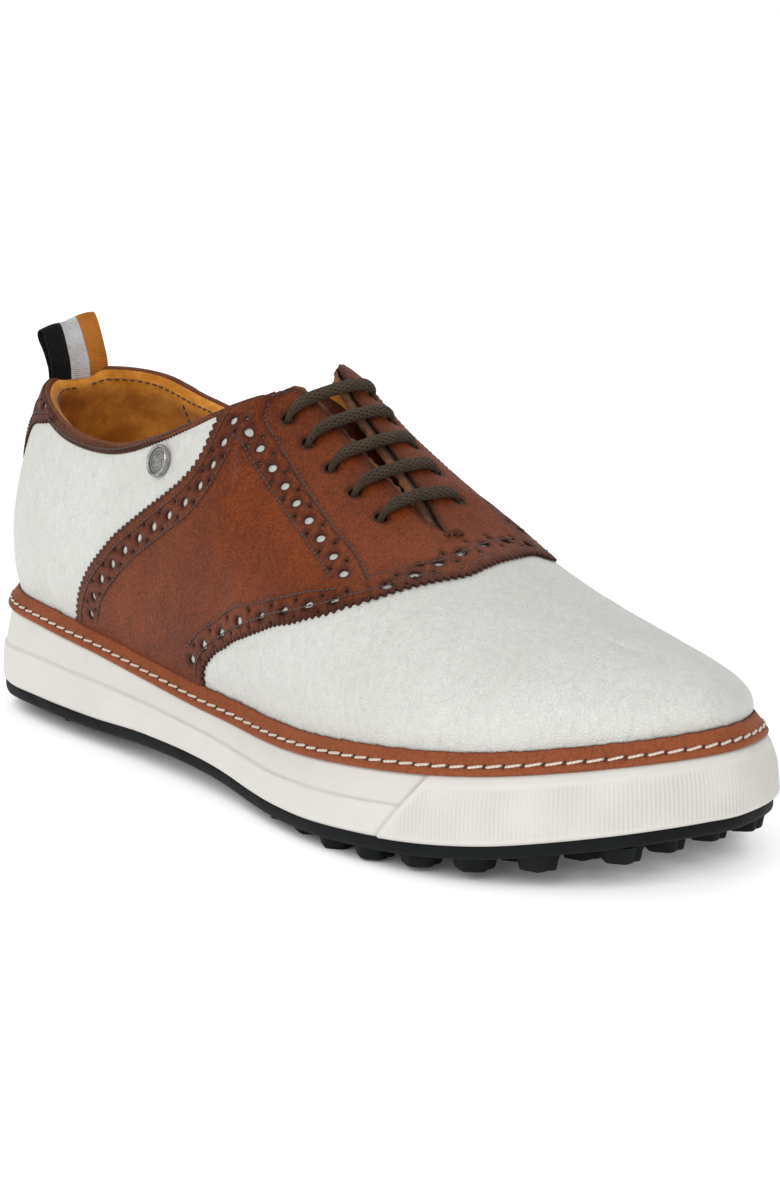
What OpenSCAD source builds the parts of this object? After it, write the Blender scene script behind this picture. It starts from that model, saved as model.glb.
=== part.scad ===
// Golf shoe, right foot: saddle oxford upper on a white cup sole with a spikeless black outsole.
// Millimetres. Toe towards -Y, outer side of the foot towards -X, ground at z = 0.
// Every layer of the upper is cut from one lasted skin, sk(u, v): u runs round the sole
// (0 heel, 16 toe tip, 32 heel again), v climbs from the feather line (0) to the top edge (1).

/* [Upper] */
// thickness of the white vamp and quarter leather
upper_leather = 1.3; // [0.9:0.1:2]
// thickness of the brown saddle leather
saddle_leather = 1.2; // [0.8:0.1:2]
// thickness of the linings
lining_leather = 0.95; // [0.6:0.05:1.4]
// width of the collar strip down from the top line, as a share of the side's height
collar_band = 0.075; // [0.04:0.005:0.15]

/* [Lacing] */
// diameter of the round lace
lace_d = 3.2; // [2:0.1:4]
// diameter of the punched lace hole in the facing
lace_hole = 4.2; // [3:0.1:5]

/* [Welt] */
// height of the sloping welt above the white wall
welt_rise = 5.5; // [4:0.1:7]
// thickness of the welt thread
welt_thread_d = 0.9; // [0.5:0.1:1.4]

/* [Sole] */
// thickness of the black outsole at its edge
outsole_edge = 3; // [2:0.1:4]
// height of the moulded lugs where the sole is flat
lug_height = 4.5; // [3:0.1:6]
// how far the ribbed toe bumper stands out of the wall
bumper_proud = 0.7; // [0:0.1:1.5]
// thickness of the removable footbed
footbed_h = 4; // [3:0.1:6]

/* [Fittings] */
// width of the pull tab ribbon
tab_width = 21; // [14:0.5:28]
// thickness of the pull tab ribbon
tab_thick = 1.1; // [0.8:0.1:2]
// diameter of the metal badge
badge_d = 9.5; // [8:0.5:14]

/* [Hidden] */

cx = -1.16; cy = 0.85;        // puts the frame's origin under the middle of the shoe
// stations round the shoe: edge of the sole x, y; top edge of the upper x, y, z;
// lower handle out, up; upper handle out, up. Outer side first, heel to toe.
outer = [
  [2, 150, 0, 129.5, 102, 5, 20, 10, -22],
  [-19, 143.5, -11, 127, 101.5, 5, 20, 9, -21],
  [-33, 125, -21, 114, 98, 5, 19, 8, -19],
  [-37.5, 98, -27, 92, 92, 5, 18, 6, -17],
  [-39, 68, -28.5, 66, 90.3, 5, 18, 6, -17],
  [-40.5, 40, -27, 42, 96, 4, 22, 7, -18],
  [-42, 18, -23, 23, 103.5, 4, 26, 11, -16],
  [-43.5, 2, -16, 11, 108.5, 4, 28, 16, -10],
  [-45, -9, -5, 7, 109.5, 5, 30, 24, -8],
  [-47.5, -22, -2.8, -6, 100.5, 5, 28, 26, -7],
  [-50.5, -38, -2.2, -19, 92.5, 5, 26, 28, -6],
  [-52.5, -57, -1, -32, 84.5, 5, 24, 30, -6],
  [-51.5, -78, 2, -46, 75.5, 5, 21, 32, -4],
  [-46.5, -100, 3, -68, 67, 5, 19, 29, -3],
  [-36.5, -120, 4, -90, 60, 5, 16, 26, -2],
  [-17, -141, 5, -106, 56.5, 5, 12, 20, -1],
  [8, -151, 6, -112, 55, 5, 11, 18, -1]];
inner = [
  [33, -141, 5, -106, 56.5, 4, 10, 18, -1],
  [48.5, -120, 4, -90, 60, 4, 12, 21, -2],
  [54, -100, 3, -68, 67, 4, 16, 25, -3],
  [54.5, -78, 2, -46, 75.5, 4, 21, 30, -2],
  [51, -57, 4.5, -32, 85.5, 4, 26, 33, -1],
  [46, -38, 6, -18.5, 94.5, 4, 28, 33, -1],
  [41, -22, 7, -5, 104, 4, 29, 30, -2],
  [37, -9, 9, 8, 114, 4, 30, 25, -4],
  [34.5, 2, 16, 15, 112.5, 4, 28, 14, -10],
  [33, 18, 21, 28, 105, 4, 26, 9, -16],
  [33, 40, 25, 45, 97, 4, 22, 6, -18],
  [34, 68, 26.5, 68, 92, 5, 18, 5, -18],
  [35.5, 98, 26, 93, 95.5, 5, 18, 5, -18],
  [33, 125, 22, 114, 101.5, 5, 19, 7, -20],
  [22, 143.5, 11, 127, 103.5, 5, 20, 9, -21]];
stations = concat(outer, inner);
// height of the white wall's top and bottom edge along the shoe
wall_top = [[150, 32.5], [110, 31.5], [70, 28.5], [40, 25.5], [10, 23], [-30, 22.5],
  [-70, 25], [-110, 28.5], [-150, 34.5]];
wall_low = [[150, 8], [110, 9], [70, 9], [40, 10], [10, 9.5], [-30, 7], [-70, 8],
  [-110, 11], [-150, 18]];

brown = [0.46, 0.22, 0.12];
white = [0.87, 0.87, 0.84];
tan = [0.66, 0.45, 0.22];

// smooth curve through rows of numbers
function cr(a, b, c, d, f) = 0.5 * (2 * b + (c - a) * f + (2 * a - 5 * b + 4 * c - d) * f * f
  + (3 * b - a - 3 * c + d) * f * f * f);
function ring_at(T, u) = let (n = len(T), w = u - n * floor(u / n), i = floor(w))
  cr(T[(i + n - 1) % n], T[i % n], T[(i + 1) % n], T[(i + 2) % n], w - i);
function open_at(T, t) = let (n = len(T), s = min(max(t, 0), n - 1), i = min(floor(s), n - 2))
  cr(i == 0 ? 2 * T[0] - T[1] : T[i - 1], T[i], T[i + 1],
     i + 2 > n - 1 ? 2 * T[n - 1] - T[n - 2] : T[i + 2], s - i);
function level(T, y) = let (k = [for (i = [0 : len(T) - 2]) if (y > T[i + 1][0]) i],
    i = len(k) > 0 ? k[0] : len(T) - 2, f = (T[i][0] - y) / (T[i][0] - T[i + 1][0]))
  open_at([for (r = T) r[1]], i + min(max(f, 0), 1));
// u on a hand-drawn line at height v: the line is rows [v, u], v rising
function line_u(L, v) = lookup(v, L);
function mix(a, b, t) = a + (b - a) * t;
function ramp(x, a, b) = let (t = min(max((x - a) / (b - a), 0), 1)) t * t * (3 - 2 * t);

// the sole's outline and the lasted skin
function oxy(u) = let (r = ring_at(stations, u)) [r[0] + cx, r[1] + cy];
function out2(u) = let (d = oxy(u + 0.001) - oxy(u - 0.001), l = norm(d)) [d[1] / l, -d[0] / l];
function inset(u, k) = oxy(u) - k * out2(u);
function ztop(u) = level(wall_top, inset(u, 3)[1] - cy);
function zlow(u) = level(wall_low, oxy(u)[1] - cy);
function own(u, k) = level(wall_top, inset(u, k)[1] - cy);
function at(u, k, z) = let (p = inset(u, k)) [p[0], p[1], z];
function top_edge(u) = let (w = u - 32 * floor(u / 32), a = ring_at(stations, w),
    b = abs(w - 16) <= 4 ? ring_at(stations, 32 - w) : a)
  [(a[2] + b[2]) / 2 + cx, (a[3] + b[3]) / 2 + cy, (a[4] + b[4]) / 2];
function mer(u) = let (r = ring_at(stations, u), n = out2(u), b = at(u, 6.5, ztop(u) + 5.5),
    t = top_edge(u))
  [b, b + [n[0] * r[5], n[1] * r[5], r[6]], t + [n[0] * r[7], n[1] * r[7], r[8]], t];
function bez(m, v) = let (w = 1 - v)
  m[0] * w * w * w + 3 * m[1] * w * w * v + 3 * m[2] * w * v * v + m[3] * v * v * v;
function sk(u, v) = bez(mer(u), v);
function skn(u, v) = let (q = min(max(v, 0), 0.985), m = mer(u),
    a = bez(mer(u + 0.01), q) - bez(mer(u - 0.01), q),
    b = bez(m, min(q + 0.01, 1)) - bez(m, max(q - 0.01, 0)), c = cross(a, b)) c / norm(c);
function off(u, v, d) = sk(u, v) + d * skn(u, v);
// the brown pieces sit this far above the white leather, glue line included
glue = 0.4;
// lasting margin: the white leather turned in under the insole board, k = 1 bend, 2 free edge
function margin(u, k, d) = k == 1 ? at(u, 8 - d * 0.5, ztop(u) + 0.35 - d)
  : at(u, 19, own(u, 19) + 0.1 - d);
function pt(u, v, d) = v <= -1.5 ? margin(u, 2, d) : v <= -0.5 ? margin(u, 1, d) : off(u, v, d);

// closed shell between two grids of points; zip sews the last row's halves together
module shell(A, B, zip = false) {
  n = len(A) - 1; m = len(A[0]) - 1;
  h = zip ? m / 2 : m;
  k = n * (m + 1) + h + 1;
  function id(i, j) = i == n && j > h ? n * (m + 1) + m - j : i * (m + 1) + j;
  function flat(G) = [for (i = [0 : n]) for (j = [0 : i == n ? h : m]) G[i][j]];
  quads = concat(
    [for (i = [0 : n - 1]) for (j = [0 : m - 1])
      [id(i, j), id(i, j + 1), id(i + 1, j + 1), id(i + 1, j)]],
    [for (i = [0 : n - 1]) for (j = [0 : m - 1])
      [k + id(i, j), k + id(i + 1, j), k + id(i + 1, j + 1), k + id(i, j + 1)]],
    [for (i = [0 : n - 1]) [id(i, 0), id(i + 1, 0), k + id(i + 1, 0), k + id(i, 0)]],
    [for (i = [0 : n - 1]) [id(i + 1, m), id(i, m), k + id(i, m), k + id(i + 1, m)]],
    [for (j = [0 : m - 1]) [id(0, j + 1), id(0, j), k + id(0, j), k + id(0, j + 1)]],
    zip ? [] : [for (j = [0 : m - 1]) [id(n, j), id(n, j + 1), k + id(n, j + 1), k + id(n, j)]]);
  polyhedron(points = concat(flat(A), flat(B)),
    faces = [for (q = quads) for (t = [[q[0], q[1], q[2]], [q[0], q[2], q[3]]]) t], convexity = 8);
}
// solid from closed rings of points, heel round to heel; ends capped straight across, or joined up
module rings(L, hollow = false) {
  n = len(L[0]); m = len(L); h = n / 2;
  function id(i, k) = ((i % n) + (k % m) * n);
  sides = [for (k = [0 : hollow ? m - 1 : m - 2]) for (i = [0 : n - 1])
    each [[id(i, k), id(i + 1, k + 1), id(i + 1, k)], [id(i, k), id(i, k + 1), id(i + 1, k + 1)]]];
  low = [for (i = [0 : h - 1]) let (a = i, b = i + 1, c = n - i - 1, d = (n - i) % n)
    each concat(b == c ? [] : [[a, b, c]], a == d ? [] : [[a, c, d]])];
  z = (m - 1) * n;
  top = [for (f = low) [z + f[2], z + f[1], z + f[0]]];
  polyhedron(points = [for (r = L) each r], faces = hollow ? sides : concat(sides, low, top),
    convexity = 8);
}
// round cord swept along a route
function unit(v) = v / norm(v);
function along(P, i) = unit(P[min(i + 1, len(P) - 1)] - P[max(i - 1, 0)]);
function carry(P, i, a) = i >= len(P) ? [] : let (d = along(P, i), b = unit(a - d * (a * d)))
  concat([b], carry(P, i + 1, b));
module cord(P, r, s = 8) {
  A = carry(P, 0, [0.31, 0.17, 0.93]); n = len(P);
  pts = [for (i = [0 : n - 1]) let (c = cross(along(P, i), A[i]))
    for (k = [0 : s - 1]) P[i] + r * (cos(360 * k / s) * A[i] + sin(360 * k / s) * c)];
  function id(i, k) = i * s + k % s;
  polyhedron(points = concat(pts, [P[0], P[n - 1]]), faces = concat(
    [for (i = [0 : n - 2]) for (k = [0 : s - 1])
      each [[id(i, k), id(i + 1, k + 1), id(i, k + 1)], [id(i, k), id(i + 1, k), id(i + 1, k + 1)]]],
    [for (k = [0 : s - 1]) [n * s, id(0, k), id(0, k + 1)]],
    [for (k = [0 : s - 1]) [n * s + 1, id(n - 1, k + 1), id(n - 1, k)]]), convexity = 10);
}
// stands a child up on the skin, its z along the skin's normal and its x along the skin's edge
module on_skin(u, v, d) {
  n = skn(u, v); t0 = unit(sk(u + 0.02, v) - sk(u - 0.02, v)); t = unit(t0 - n * (t0 * n));
  b = cross(n, t); o = off(u, v, d);
  multmatrix([[t[0], b[0], n[0], o[0]], [t[1], b[1], n[1], o[1]], [t[2], b[2], n[2], o[2]],
    [0, 0, 0, 1]]) children();
}
// patch of the skin between two lines [v, u], from outer offset a to inner offset b
// side 1 is the outer half of the shoe, -1 the inner half
function side_u(u, side) = side > 0 ? u : 32 - u;
module patch(back, front, vs, n, a, b, side = 1) {
  function grid(d) = [for (i = [0 : n]) [for (v = vs) let (w = max(v, 0))
    pt(side_u(mix(line_u(back, w), line_u(front, w), i / n), side), v, d)]];
  A = side > 0 ? grid(a) : [for (i = [n : -1 : 0]) grid(a)[i]];
  B = side > 0 ? grid(b) : [for (i = [n : -1 : 0]) grid(b)[i]];
  shell(A, B);
}
function steps(a, b, n) = [for (i = [0 : n]) mix(a, b, i / n)];
ring_n = 64;
us = [for (i = [0 : ring_n - 1]) i * 32 / ring_n];

// lines of the pattern, rows [v, u]
saddle_back = [[0, 3.5], [0.12, 3.55], [0.24, 3.7], [0.39, 3.95], [0.52, 4.25], [0.645, 4.6],
  [0.725, 5], [0.77, 5.55], [0.85, 5.95], [0.93, 6], [1, 6.2]];
saddle_front = [[0, 6.2], [0.06, 6.25], [0.12, 6.75], [0.17, 7.8], [0.28, 9.55], [0.375, 10.75],
  [0.44, 11.3], [0.55, 11.85], [0.6, 12.05], [0.75, 12.45], [0.9, 12.62], [1, 12.7]];
wing_front = [[0, 6.2], [0.06, 6.25], [0.12, 6.75], [0.17, 7.8], [0.28, 9.55], [0.375, 10.75],
  [0.44, 11.3], [0.55, 11.85], [0.6, 11.7], [0.66, 11.4], [0.7, 10.6], [0.735, 9.6],
  [0.765, 8.6], [0.86, 7.7], [1, 7.1]];
// facing's rear edge the other way round, rows [u, v]
facing_low = [[7.15, 0.99], [7.75, 0.865], [8.65, 0.77], [9.65, 0.74], [10.65, 0.705],
  [11.45, 0.665], [11.75, 0.605], [11.9, 0.56], [12.05, 0.6], [12.45, 0.75], [12.62, 0.9],
  [12.7, 1]];
vamp_back = [[0, 5.2], [0.2, 6.6], [0.4, 9.2], [0.55, 10.6], [0.75, 11.5], [1, 12.15]];
quarter_front = [for (r = vamp_back) [r[0], r[1] - 0.05]];
heel_edge = [[0, 4.5], [1, 4.5]];
lining_back = [[0, 4.53], [1, 4.53]];

eye_outer = [[8.38, 0.875], [9, 0.875], [9.78, 0.875], [10.52, 0.875], [11.22, 0.875]];
eye_inner = [[8.55, 0.872], [9.17, 0.87], [9.85, 0.87], [10.56, 0.864], [11.25, 0.857]];
function eye(i, side) = let (e = side > 0 ? eye_outer[i] : eye_inner[i]) [side_u(e[0], side), e[1]];
// lining sits deeper where the heel counter or the toe puff lies behind it
function lining_at(u) = let (w = u > 16 ? 32 - u : u) 2.05 + 1.15 * (1 - ramp(w, 3.3, 4.4))
  + 0.9 * ramp(w, 12.4, 13.2);
module lace_hole(i, side, d) {
  e = eye(i, side);
  on_skin(e[0], e[1], 0) {
    hull() { translate([0, 0, -6]) cylinder(d = d, h = 0.1, $fn = 12);
      cylinder(d = d, h = 0.1, $fn = 12); }
    hull() { cylinder(d = d, h = 0.1, $fn = 12);
      translate([0, 0, 4]) cylinder(d = d, h = 0.1, $fn = 12); }
  }
}

// ---------------- sole ----------------
lug_rows = [[132, [-14, 0, 14]], [117, [-22, -8, 8, 22]], [102, [-26, -13, 0, 13, 26]],
  [87, [-26, -9, 9, 26]], [72, [-26, -13, 0, 13, 26]], [-12, [-33, -17, 0, 17, 29]],
  [-28, [-38, -24, -9, 9, 24, 37]], [-43, [-41, -27, -13, 2, 17, 31, 43]],
  [-58, [-44, -30, -15, 0, 15, 30, 45]], [-73, [-44, -29, -14, 1, 17, 32, 47]],
  [-88, [-41, -27, -12, 3, 18, 33, 47]], [-103, [-36, -22, -8, 6, 20, 34, 46]],
  [-118, [-28, -13, 2, 17, 31, 42]], [-133, [-14, 1, 16, 29]]];
module outsole() {
  color([0.13, 0.14, 0.14]) union() {
    rings([[for (u = us) at(u, 1.4, zlow(u) - outsole_edge)],
      [for (u = us) at(u, 0.7, zlow(u) - outsole_edge + 0.6)],
      [for (u = us) at(u, 0.7, zlow(u) - 0.05)]]);
    for (r = lug_rows) for (x = r[1]) let (z = level(wall_low, r[0]) - outsole_edge,
        b = r[0] > 50 ? 0 : max(0, z - lug_height))
      translate([x + cx, r[0] + cy, b]) cylinder(r1 = 3.1, r2 = 4.6, h = z + 1 - b, $fn = 6);
  }
}
function proud(u) = bumper_proud * ramp(u, 12.2, 12.8) * (1 - ramp(u, 19.2, 19.8));
module midsole() {
  function wall(k, f) = [for (u = us) at(u, k - proud(u), mix(zlow(u), ztop(u), f))];
  color(white) rings([wall(1.2, 0), wall(0.2, 0.05), wall(0, 0.14), wall(0.7, 0.52),
    wall(1.6, 0.56), wall(2.8, 0.96), wall(3.3, 1),
    [for (u = us) at(u, 9.5, ztop(u))], [for (u = us) at(u, 10, own(u, 10) - 7)]]);
}
module welt() {
  color([0.6, 0.33, 0.19]) rings([
    [for (u = us) at(u, 6.2, ztop(u) + 0.05)], [for (u = us) at(u, 2.7, ztop(u) + 0.05)],
    [for (u = us) at(u, 2.5, ztop(u) + 1.3)], [for (u = us) at(u, 5.9, ztop(u) + welt_rise - 0.1)],
    [for (u = us) at(u, 6.35, ztop(u) + welt_rise - 0.2)]], hollow = true);
}
module welt_thread() {
  r = welt_thread_d / 2;
  color([0.92, 0.91, 0.87]) rings([for (k = [0 : 5]) [for (u = us)
    at(u, 3.35 - 0.77 * r + r * cos(60 * k), ztop(u) + 2.55 + 0.63 * r - r * sin(60 * k))]],
    hollow = true);
}
module pad_between(ya, yb, k, lo, hi, n = 16) {
  // slab inside the sole between two cross lines, k in from the outline
  function uy(y, side, t = [0, 16], c = 18) = c == 0 ? (t[0] + t[1]) / 2
    : let (m = (t[0] + t[1]) / 2, p = inset(side_u(m, side), k))
      p[1] > y ? uy(y, side, [m, t[1]], c - 1) : uy(y, side, [t[0], m], c - 1);
  function edge(y, side, z) = let (u = side_u(uy(y, side), side)) at(u, k, own(u, k) + z);
  A = [for (i = [0 : n]) let (y = mix(yb, ya, i / n)) [edge(y, 1, hi), edge(y, -1, hi)]];
  B = [for (i = [0 : n]) let (y = mix(yb, ya, i / n)) [edge(y, 1, lo), edge(y, -1, lo)]];
  shell(A, B);
}
module forefoot_filler() { color([0.55, 0.42, 0.28]) pad_between(-129, 24, 10.6, -6.8, -0.1); }
module heel_wedge() { color([0.8, 0.8, 0.78]) pad_between(25, 133, 10.6, -6.8, -0.1); }
module shank() {
  color([0.6, 0.62, 0.64]) shell(
    [for (i = [0 : 12]) let (y = mix(95, -15, i / 12), z = level(wall_top, y))
      [[-7 + cx, y + cy, z + 1.25], [7 + cx, y + cy, z + 1.25]]],
    [for (i = [0 : 12]) let (y = mix(95, -15, i / 12), z = level(wall_top, y))
      [[-7 + cx, y + cy, z + 0.05], [7 + cx, y + cy, z + 0.05]]]);
}
module insole_board() {
  color([0.72, 0.6, 0.45]) rings([[for (u = us) at(u, 10.6, own(u, 10.6) + 2.4)],
    [for (u = us) at(u, 10.4, own(u, 10.4) + 4.1)]]);
}
module footbed() {
  function z0(u) = ztop(u) + 4.5;
  color([0.2, 0.2, 0.22]) rings([[for (u = us) at(u, 11.7, z0(u))],
    [for (u = us) at(u, 11.6, z0(u) + footbed_h + 1)], [for (u = us) at(u, 13.4, z0(u) + footbed_h + 0.6)],
    [for (u = us) at(u, 18, z0(u) + footbed_h)]]);
}

// ---------------- upper, hidden layers ----------------
module vamp_shell(back, vs, n, a, b) {
  m = len(vs) - 1;
  function row(t, d) = concat(
    [for (v = vs) let (q = mix(line_u(back, max(v, 0)), 16, t)) pt(q, v, d)],
    [for (j = [m - 1 : -1 : 0]) let (v = vs[j], q = mix(line_u(back, max(v, 0)), 16, t))
      pt(32 - q, v, d)]);
  shell([for (i = [0 : n]) row(i / n, a)], [for (i = [0 : n]) row(i / n, b)], zip = true);
}
module toe_puff() {
  color([0.85, 0.8, 0.7]) vamp_shell([[0, 13.3], [0.5, 13.5], [0.9, 13.9]],
    [0.02, 0.1, 0.22, 0.36, 0.5, 0.65, 0.8, 0.92, 1], 8, -1.8, -2.5);
}
module heel_counter() {
  color([0.75, 0.68, 0.55]) shell(
    [for (i = [0 : 16]) [for (v = [0.02, 0.2, 0.4, 0.6, 0.72]) off(mix(-3.1, 3.1, i / 16), v, -1.95)]],
    [for (i = [0 : 16]) [for (v = [0.02, 0.2, 0.4, 0.6, 0.72]) off(mix(-3.1, 3.1, i / 16), v, -2.75)]]);
}
module collar_foam() {
  color([0.9, 0.85, 0.6]) shell(
    [for (i = [0 : 20]) [for (v = [0.76, 0.84, 0.92, 0.985]) off(mix(-3.1, 3.1, i / 20), v, -1.8)]],
    [for (i = [0 : 20]) [for (v = [0.76, 0.84, 0.92, 0.985]) off(mix(-3.1, 3.1, i / 20), v, -2.8)]]);
}
module heel_lining() {
  vs = [0, 0.15, 0.3, 0.5, 0.7, 0.85, 1];
  function g(i, v, d) = let (u = mix(-4.5, 4.5, i / 20)) off(u, v, -lining_at(abs(u)) - d);
  color(tan) shell([for (i = [0 : 20]) [for (v = vs) g(i, v, 0)]],
    [for (i = [0 : 20]) [for (v = vs) g(i, v, lining_leather)]]);
}
lining_v = [0, 0.1, 0.22, 0.36, 0.5, 0.65, 0.8, 0.92, 1];
module lining_side(side) {
  vs = lining_v;
  n = 18;
  function g(i, v, d) = let (u = mix(4.53, line_u(quarter_front, v), i / n))
    off(side_u(u, side), v, -lining_at(u) - d);
  idx = side > 0 ? [0 : 1 : n] : [n : -1 : 0];
  difference() {
    shell([for (i = idx) [for (v = vs) g(i, v, 0)]],
      [for (i = idx) [for (v = vs) g(i, v, lining_leather)]]);
    for (i = [0 : 4]) lace_hole(i, side, 5.3);
  }
}
module quarter_lining_lateral() { color(tan) lining_side(1); }
module quarter_lining_medial() { color(tan) lining_side(-1); }
module vamp_lining() {
  vs = lining_v; m = len(vs) - 1; n = 20;
  function g(t, v, s, d) = let (q = mix(line_u(vamp_back, v), 16, t))
    off(s > 0 ? q : 32 - q, v, -lining_at(q) - d);
  function row(t, d) = concat([for (v = vs) g(t, v, 1, d)],
    [for (j = [m - 1 : -1 : 0]) g(t, vs[j], -1, d)]);
  color([0.75, 0.72, 0.66]) shell([for (i = [0 : n]) row(i / n, 0)],
    [for (i = [0 : n]) row(i / n, lining_leather)], zip = true);
}

// ---------------- upper, outer leather ----------------
module vamp() {
  color(white) vamp_shell(vamp_back, [-2, -1, 0, 0.1, 0.22, 0.36, 0.5, 0.65, 0.8, 0.92, 1], 20,
    0, -upper_leather);
}
module quarter(side) {
  difference() {
    patch([[0, 0.03], [1, 0.03]], quarter_front,
      [-2, -1, 0, 0.1, 0.22, 0.36, 0.5, 0.65, 0.8, 0.92, 1], 26, 0, -upper_leather, side);
    for (i = [0 : 4]) lace_hole(i, side, 5.3);
  }
}
module quarter_lateral() { color(white) quarter(1); }
module quarter_medial() { color(white) quarter(-1); }
wing_v = [0, 0.06, 0.12, 0.17, 0.28, 0.375, 0.44, 0.55, 0.6, 0.66, 0.7, 0.735, 0.765, 0.86, 0.93, 1];
module wing_lateral() {
  color(brown) patch(saddle_back, wing_front, wing_v, 18, saddle_leather + glue, glue, 1);
}
module wing_medial() {
  color(brown) patch(saddle_back, wing_front, wing_v, 18, saddle_leather + glue, glue, -1);
}
module gimp(side) {
  // second pinked layer showing past the wing's front edge
  L = [for (r = saddle_front) if (r[0] <= 0.45) r];
  function g(t, w, d) = let (v = mix(0.005, 0.44, t), u = line_u(saddle_front, v) + 0.15)
    off(side_u(u + w * mix(0.16, 0.1, t), side), max(v - w * 0.02 * ramp(t, 0.15, 0.4), 0), d);
  idx = side > 0 ? [0 : 1 : 16] : [16 : -1 : 0];
  function swap(G) = [for (j = [0 : 1]) [for (i = [0 : 16]) G[i][j]]];
  G1 = [for (i = [0 : 16]) [g(i / 16, 0, 0.9), g(i / 16, 1, 0.9)]];
  G0 = [for (i = [0 : 16]) [g(i / 16, 0, glue), g(i / 16, 1, glue)]];
  A = swap(G1); B = swap(G0);
  shell(side > 0 ? A : [A[1], A[0]], side > 0 ? B : [B[1], B[0]]);
}
module gimp_lateral() { color(brown * 0.8) gimp(1); }
module gimp_medial() { color(brown * 0.8) gimp(-1); }
module facing() {
  us_out = [7.15, 7.4, 7.75, 8.2, 8.65, 9.15, 9.65, 10.15, 10.65, 11.05, 11.45, 11.75, 11.9, 12.05,
    12.25, 12.45, 12.62];
  us_in = [7.15, 7.4, 7.7, 8.05, 8.5, 8.95, 9.4, 9.85, 10.3, 10.7, 11.1, 11.4, 11.6, 11.75, 11.87,
    11.94, 11.98];
  m = 6; k = len(us_out);
  function rib(i, s, d) = let (a = [us_in[i], 1], b = [us_out[i], lookup(us_out[i], facing_low)])
    [for (j = [0 : m]) let (q = mix(b, a, j / m)) off(side_u(q[0], s), q[1], d)];
  function mid(d) = [for (j = [0 : m]) let (u = mix(12.7, 12, j / m))
    (off(u, 1, d) + off(32 - u, 1, d)) / 2];
  function grid(d) = concat([for (i = [0 : k - 1]) rib(i, 1, d)], [mid(d)],
    [for (i = [k - 1 : -1 : 0]) rib(i, -1, d)]);
  color(brown) difference() {
    shell(grid(saddle_leather + glue), grid(glue));
    for (i = [0 : 4]) for (s = [1, -1]) lace_hole(i, s, lace_hole);
  }
}
module stay(side) {
  function g(i, v, d) = off(side_u(mix(7.95, 11.7, i / 14), side), v, d);
  idx = side > 0 ? [0 : 1 : 14] : [14 : -1 : 0];
  difference() {
    shell([for (i = idx) [for (v = [0.8, 0.9, 0.985]) g(i, v, -1.6)]],
      [for (i = idx) [for (v = [0.8, 0.9, 0.985]) g(i, v, -1.9)]]);
    for (i = [0 : 4]) lace_hole(i, side, 5.3);
  }
}
module facing_stays() { color([0.8, 0.8, 0.75]) { stay(1); stay(-1); } }
module eyelets() {
  color([0.55, 0.5, 0.42]) for (i = [0 : 4]) for (s = [1, -1]) let (e = eye(i, s))
    on_skin(e[0], e[1], 0) difference() {
      union() {
        translate([0, 0, -3.9]) cylinder(d = 5, h = 3.5, $fn = 32);
        translate([0, 0, -4.05]) cylinder(d = 6.8, h = 0.3, $fn = 32);
      }
      translate([0, 0, -4.5]) cylinder(d = 4.6, h = 6, $fn = 32);
    }
}
module throat_tab() {
  // rolled keeper sewn across the foot of the slit
  color(brown) on_skin(12.2, 1, saddle_leather + 0.6) translate([-1.5, -4, 0])
    cube([3, 8, 1.2]);
}
module collar_strip(side) {
  patch([[0.9, 2.6], [1, 2.75]], [[0.9, 5.88], [1, 6.08]], [1 - collar_band, 1 - collar_band / 2, 1],
    16, 1.25, glue, side);
}
module collar_lateral() { color(brown) collar_strip(1); }
module collar_medial() { color(brown) collar_strip(-1); }
module heel_tab() {
  w = [[0.6, 1], [0.68, 1.3], [0.85, 1.75], [0.93, 2.3], [1, 2.65]];
  vs = [0.6, 0.68, 0.77, 0.85, 0.93, 1];
  color(brown) shell([for (i = [0 : 18]) [for (v = vs) off(mix(-1, 1, i / 18) * lookup(v, w), v, 1.4)]],
    [for (i = [0 : 18]) [for (v = vs) off(mix(-1, 1, i / 18) * lookup(v, w), v, glue)]]);
}

// ---------------- tongue ----------------
tongue_rise = 10;
function tongue_row(u, d, lift) = let (vs = [0.78, 0.85, 0.92, 0.97])
  [for (p = concat([for (v = vs) off(u, v, d)],
      [(off(u, 1, d) * 2 + off(32 - u, 1, d)) / 3, (off(u, 1, d) + off(32 - u, 1, d) * 2) / 3],
      [for (i = [3 : -1 : 0]) off(32 - u, vs[i] * 0.98, d)])) p + lift * [0, 0.83, 0.56]];
module tongue_layer(a, b) {
  function grid(d) = concat([tongue_row(8.7, d, tongue_rise), tongue_row(8.7, d, tongue_rise / 2)],
    [for (u = [8.7, 9.2, 9.7, 10.2, 10.7, 11.2, 11.7, 12.05]) tongue_row(u, d, 0)]);
  shell(grid(a), grid(b));
}
module tongue() { color(brown * 0.7) tongue_layer(-8.15, -9.3); }
module tongue_lining() { color(tan) tongue_layer(-9.35, -10.2); }

// ---------------- lace ----------------
lr = lace_d / 2;
face_z = saddle_leather + glue;
function dip(i, s) = let (e = eye(i, s)) [off(e[0], e[1], -5.05), off(e[0], e[1], face_z + 0.85)];
function bar(i) = let (a = eye(i, 1), b = eye(i, -1), h = face_z + lr,
    p = off(a[0], 1, h + 0.3), q = off(b[0], 1, h + 0.3))
  concat(dip(i, 1), [off(a[0], a[1] + 0.03, h + 0.6), off(a[0], a[1] + 0.075, h + 0.15),
    mix(p, q, 0.1), mix(p, q, 0.5) + [0, -0.15, 0.3], mix(p, q, 0.9),
    off(b[0], b[1] + 0.09, h + 0.15), off(b[0], b[1] + 0.03, h + 0.6)],
    [dip(i, -1)[1], dip(i, -1)[0]]);
function turn(i, k, s) = let (e = eye(i, s), f = eye(k, s), d = -6.35)
  [off(mix(e[0], f[0], 0.3), mix(e[1], f[1], 0.3), d), off(mix(e[0], f[0], 0.7), mix(e[1], f[1], 0.7), d)];
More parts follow.
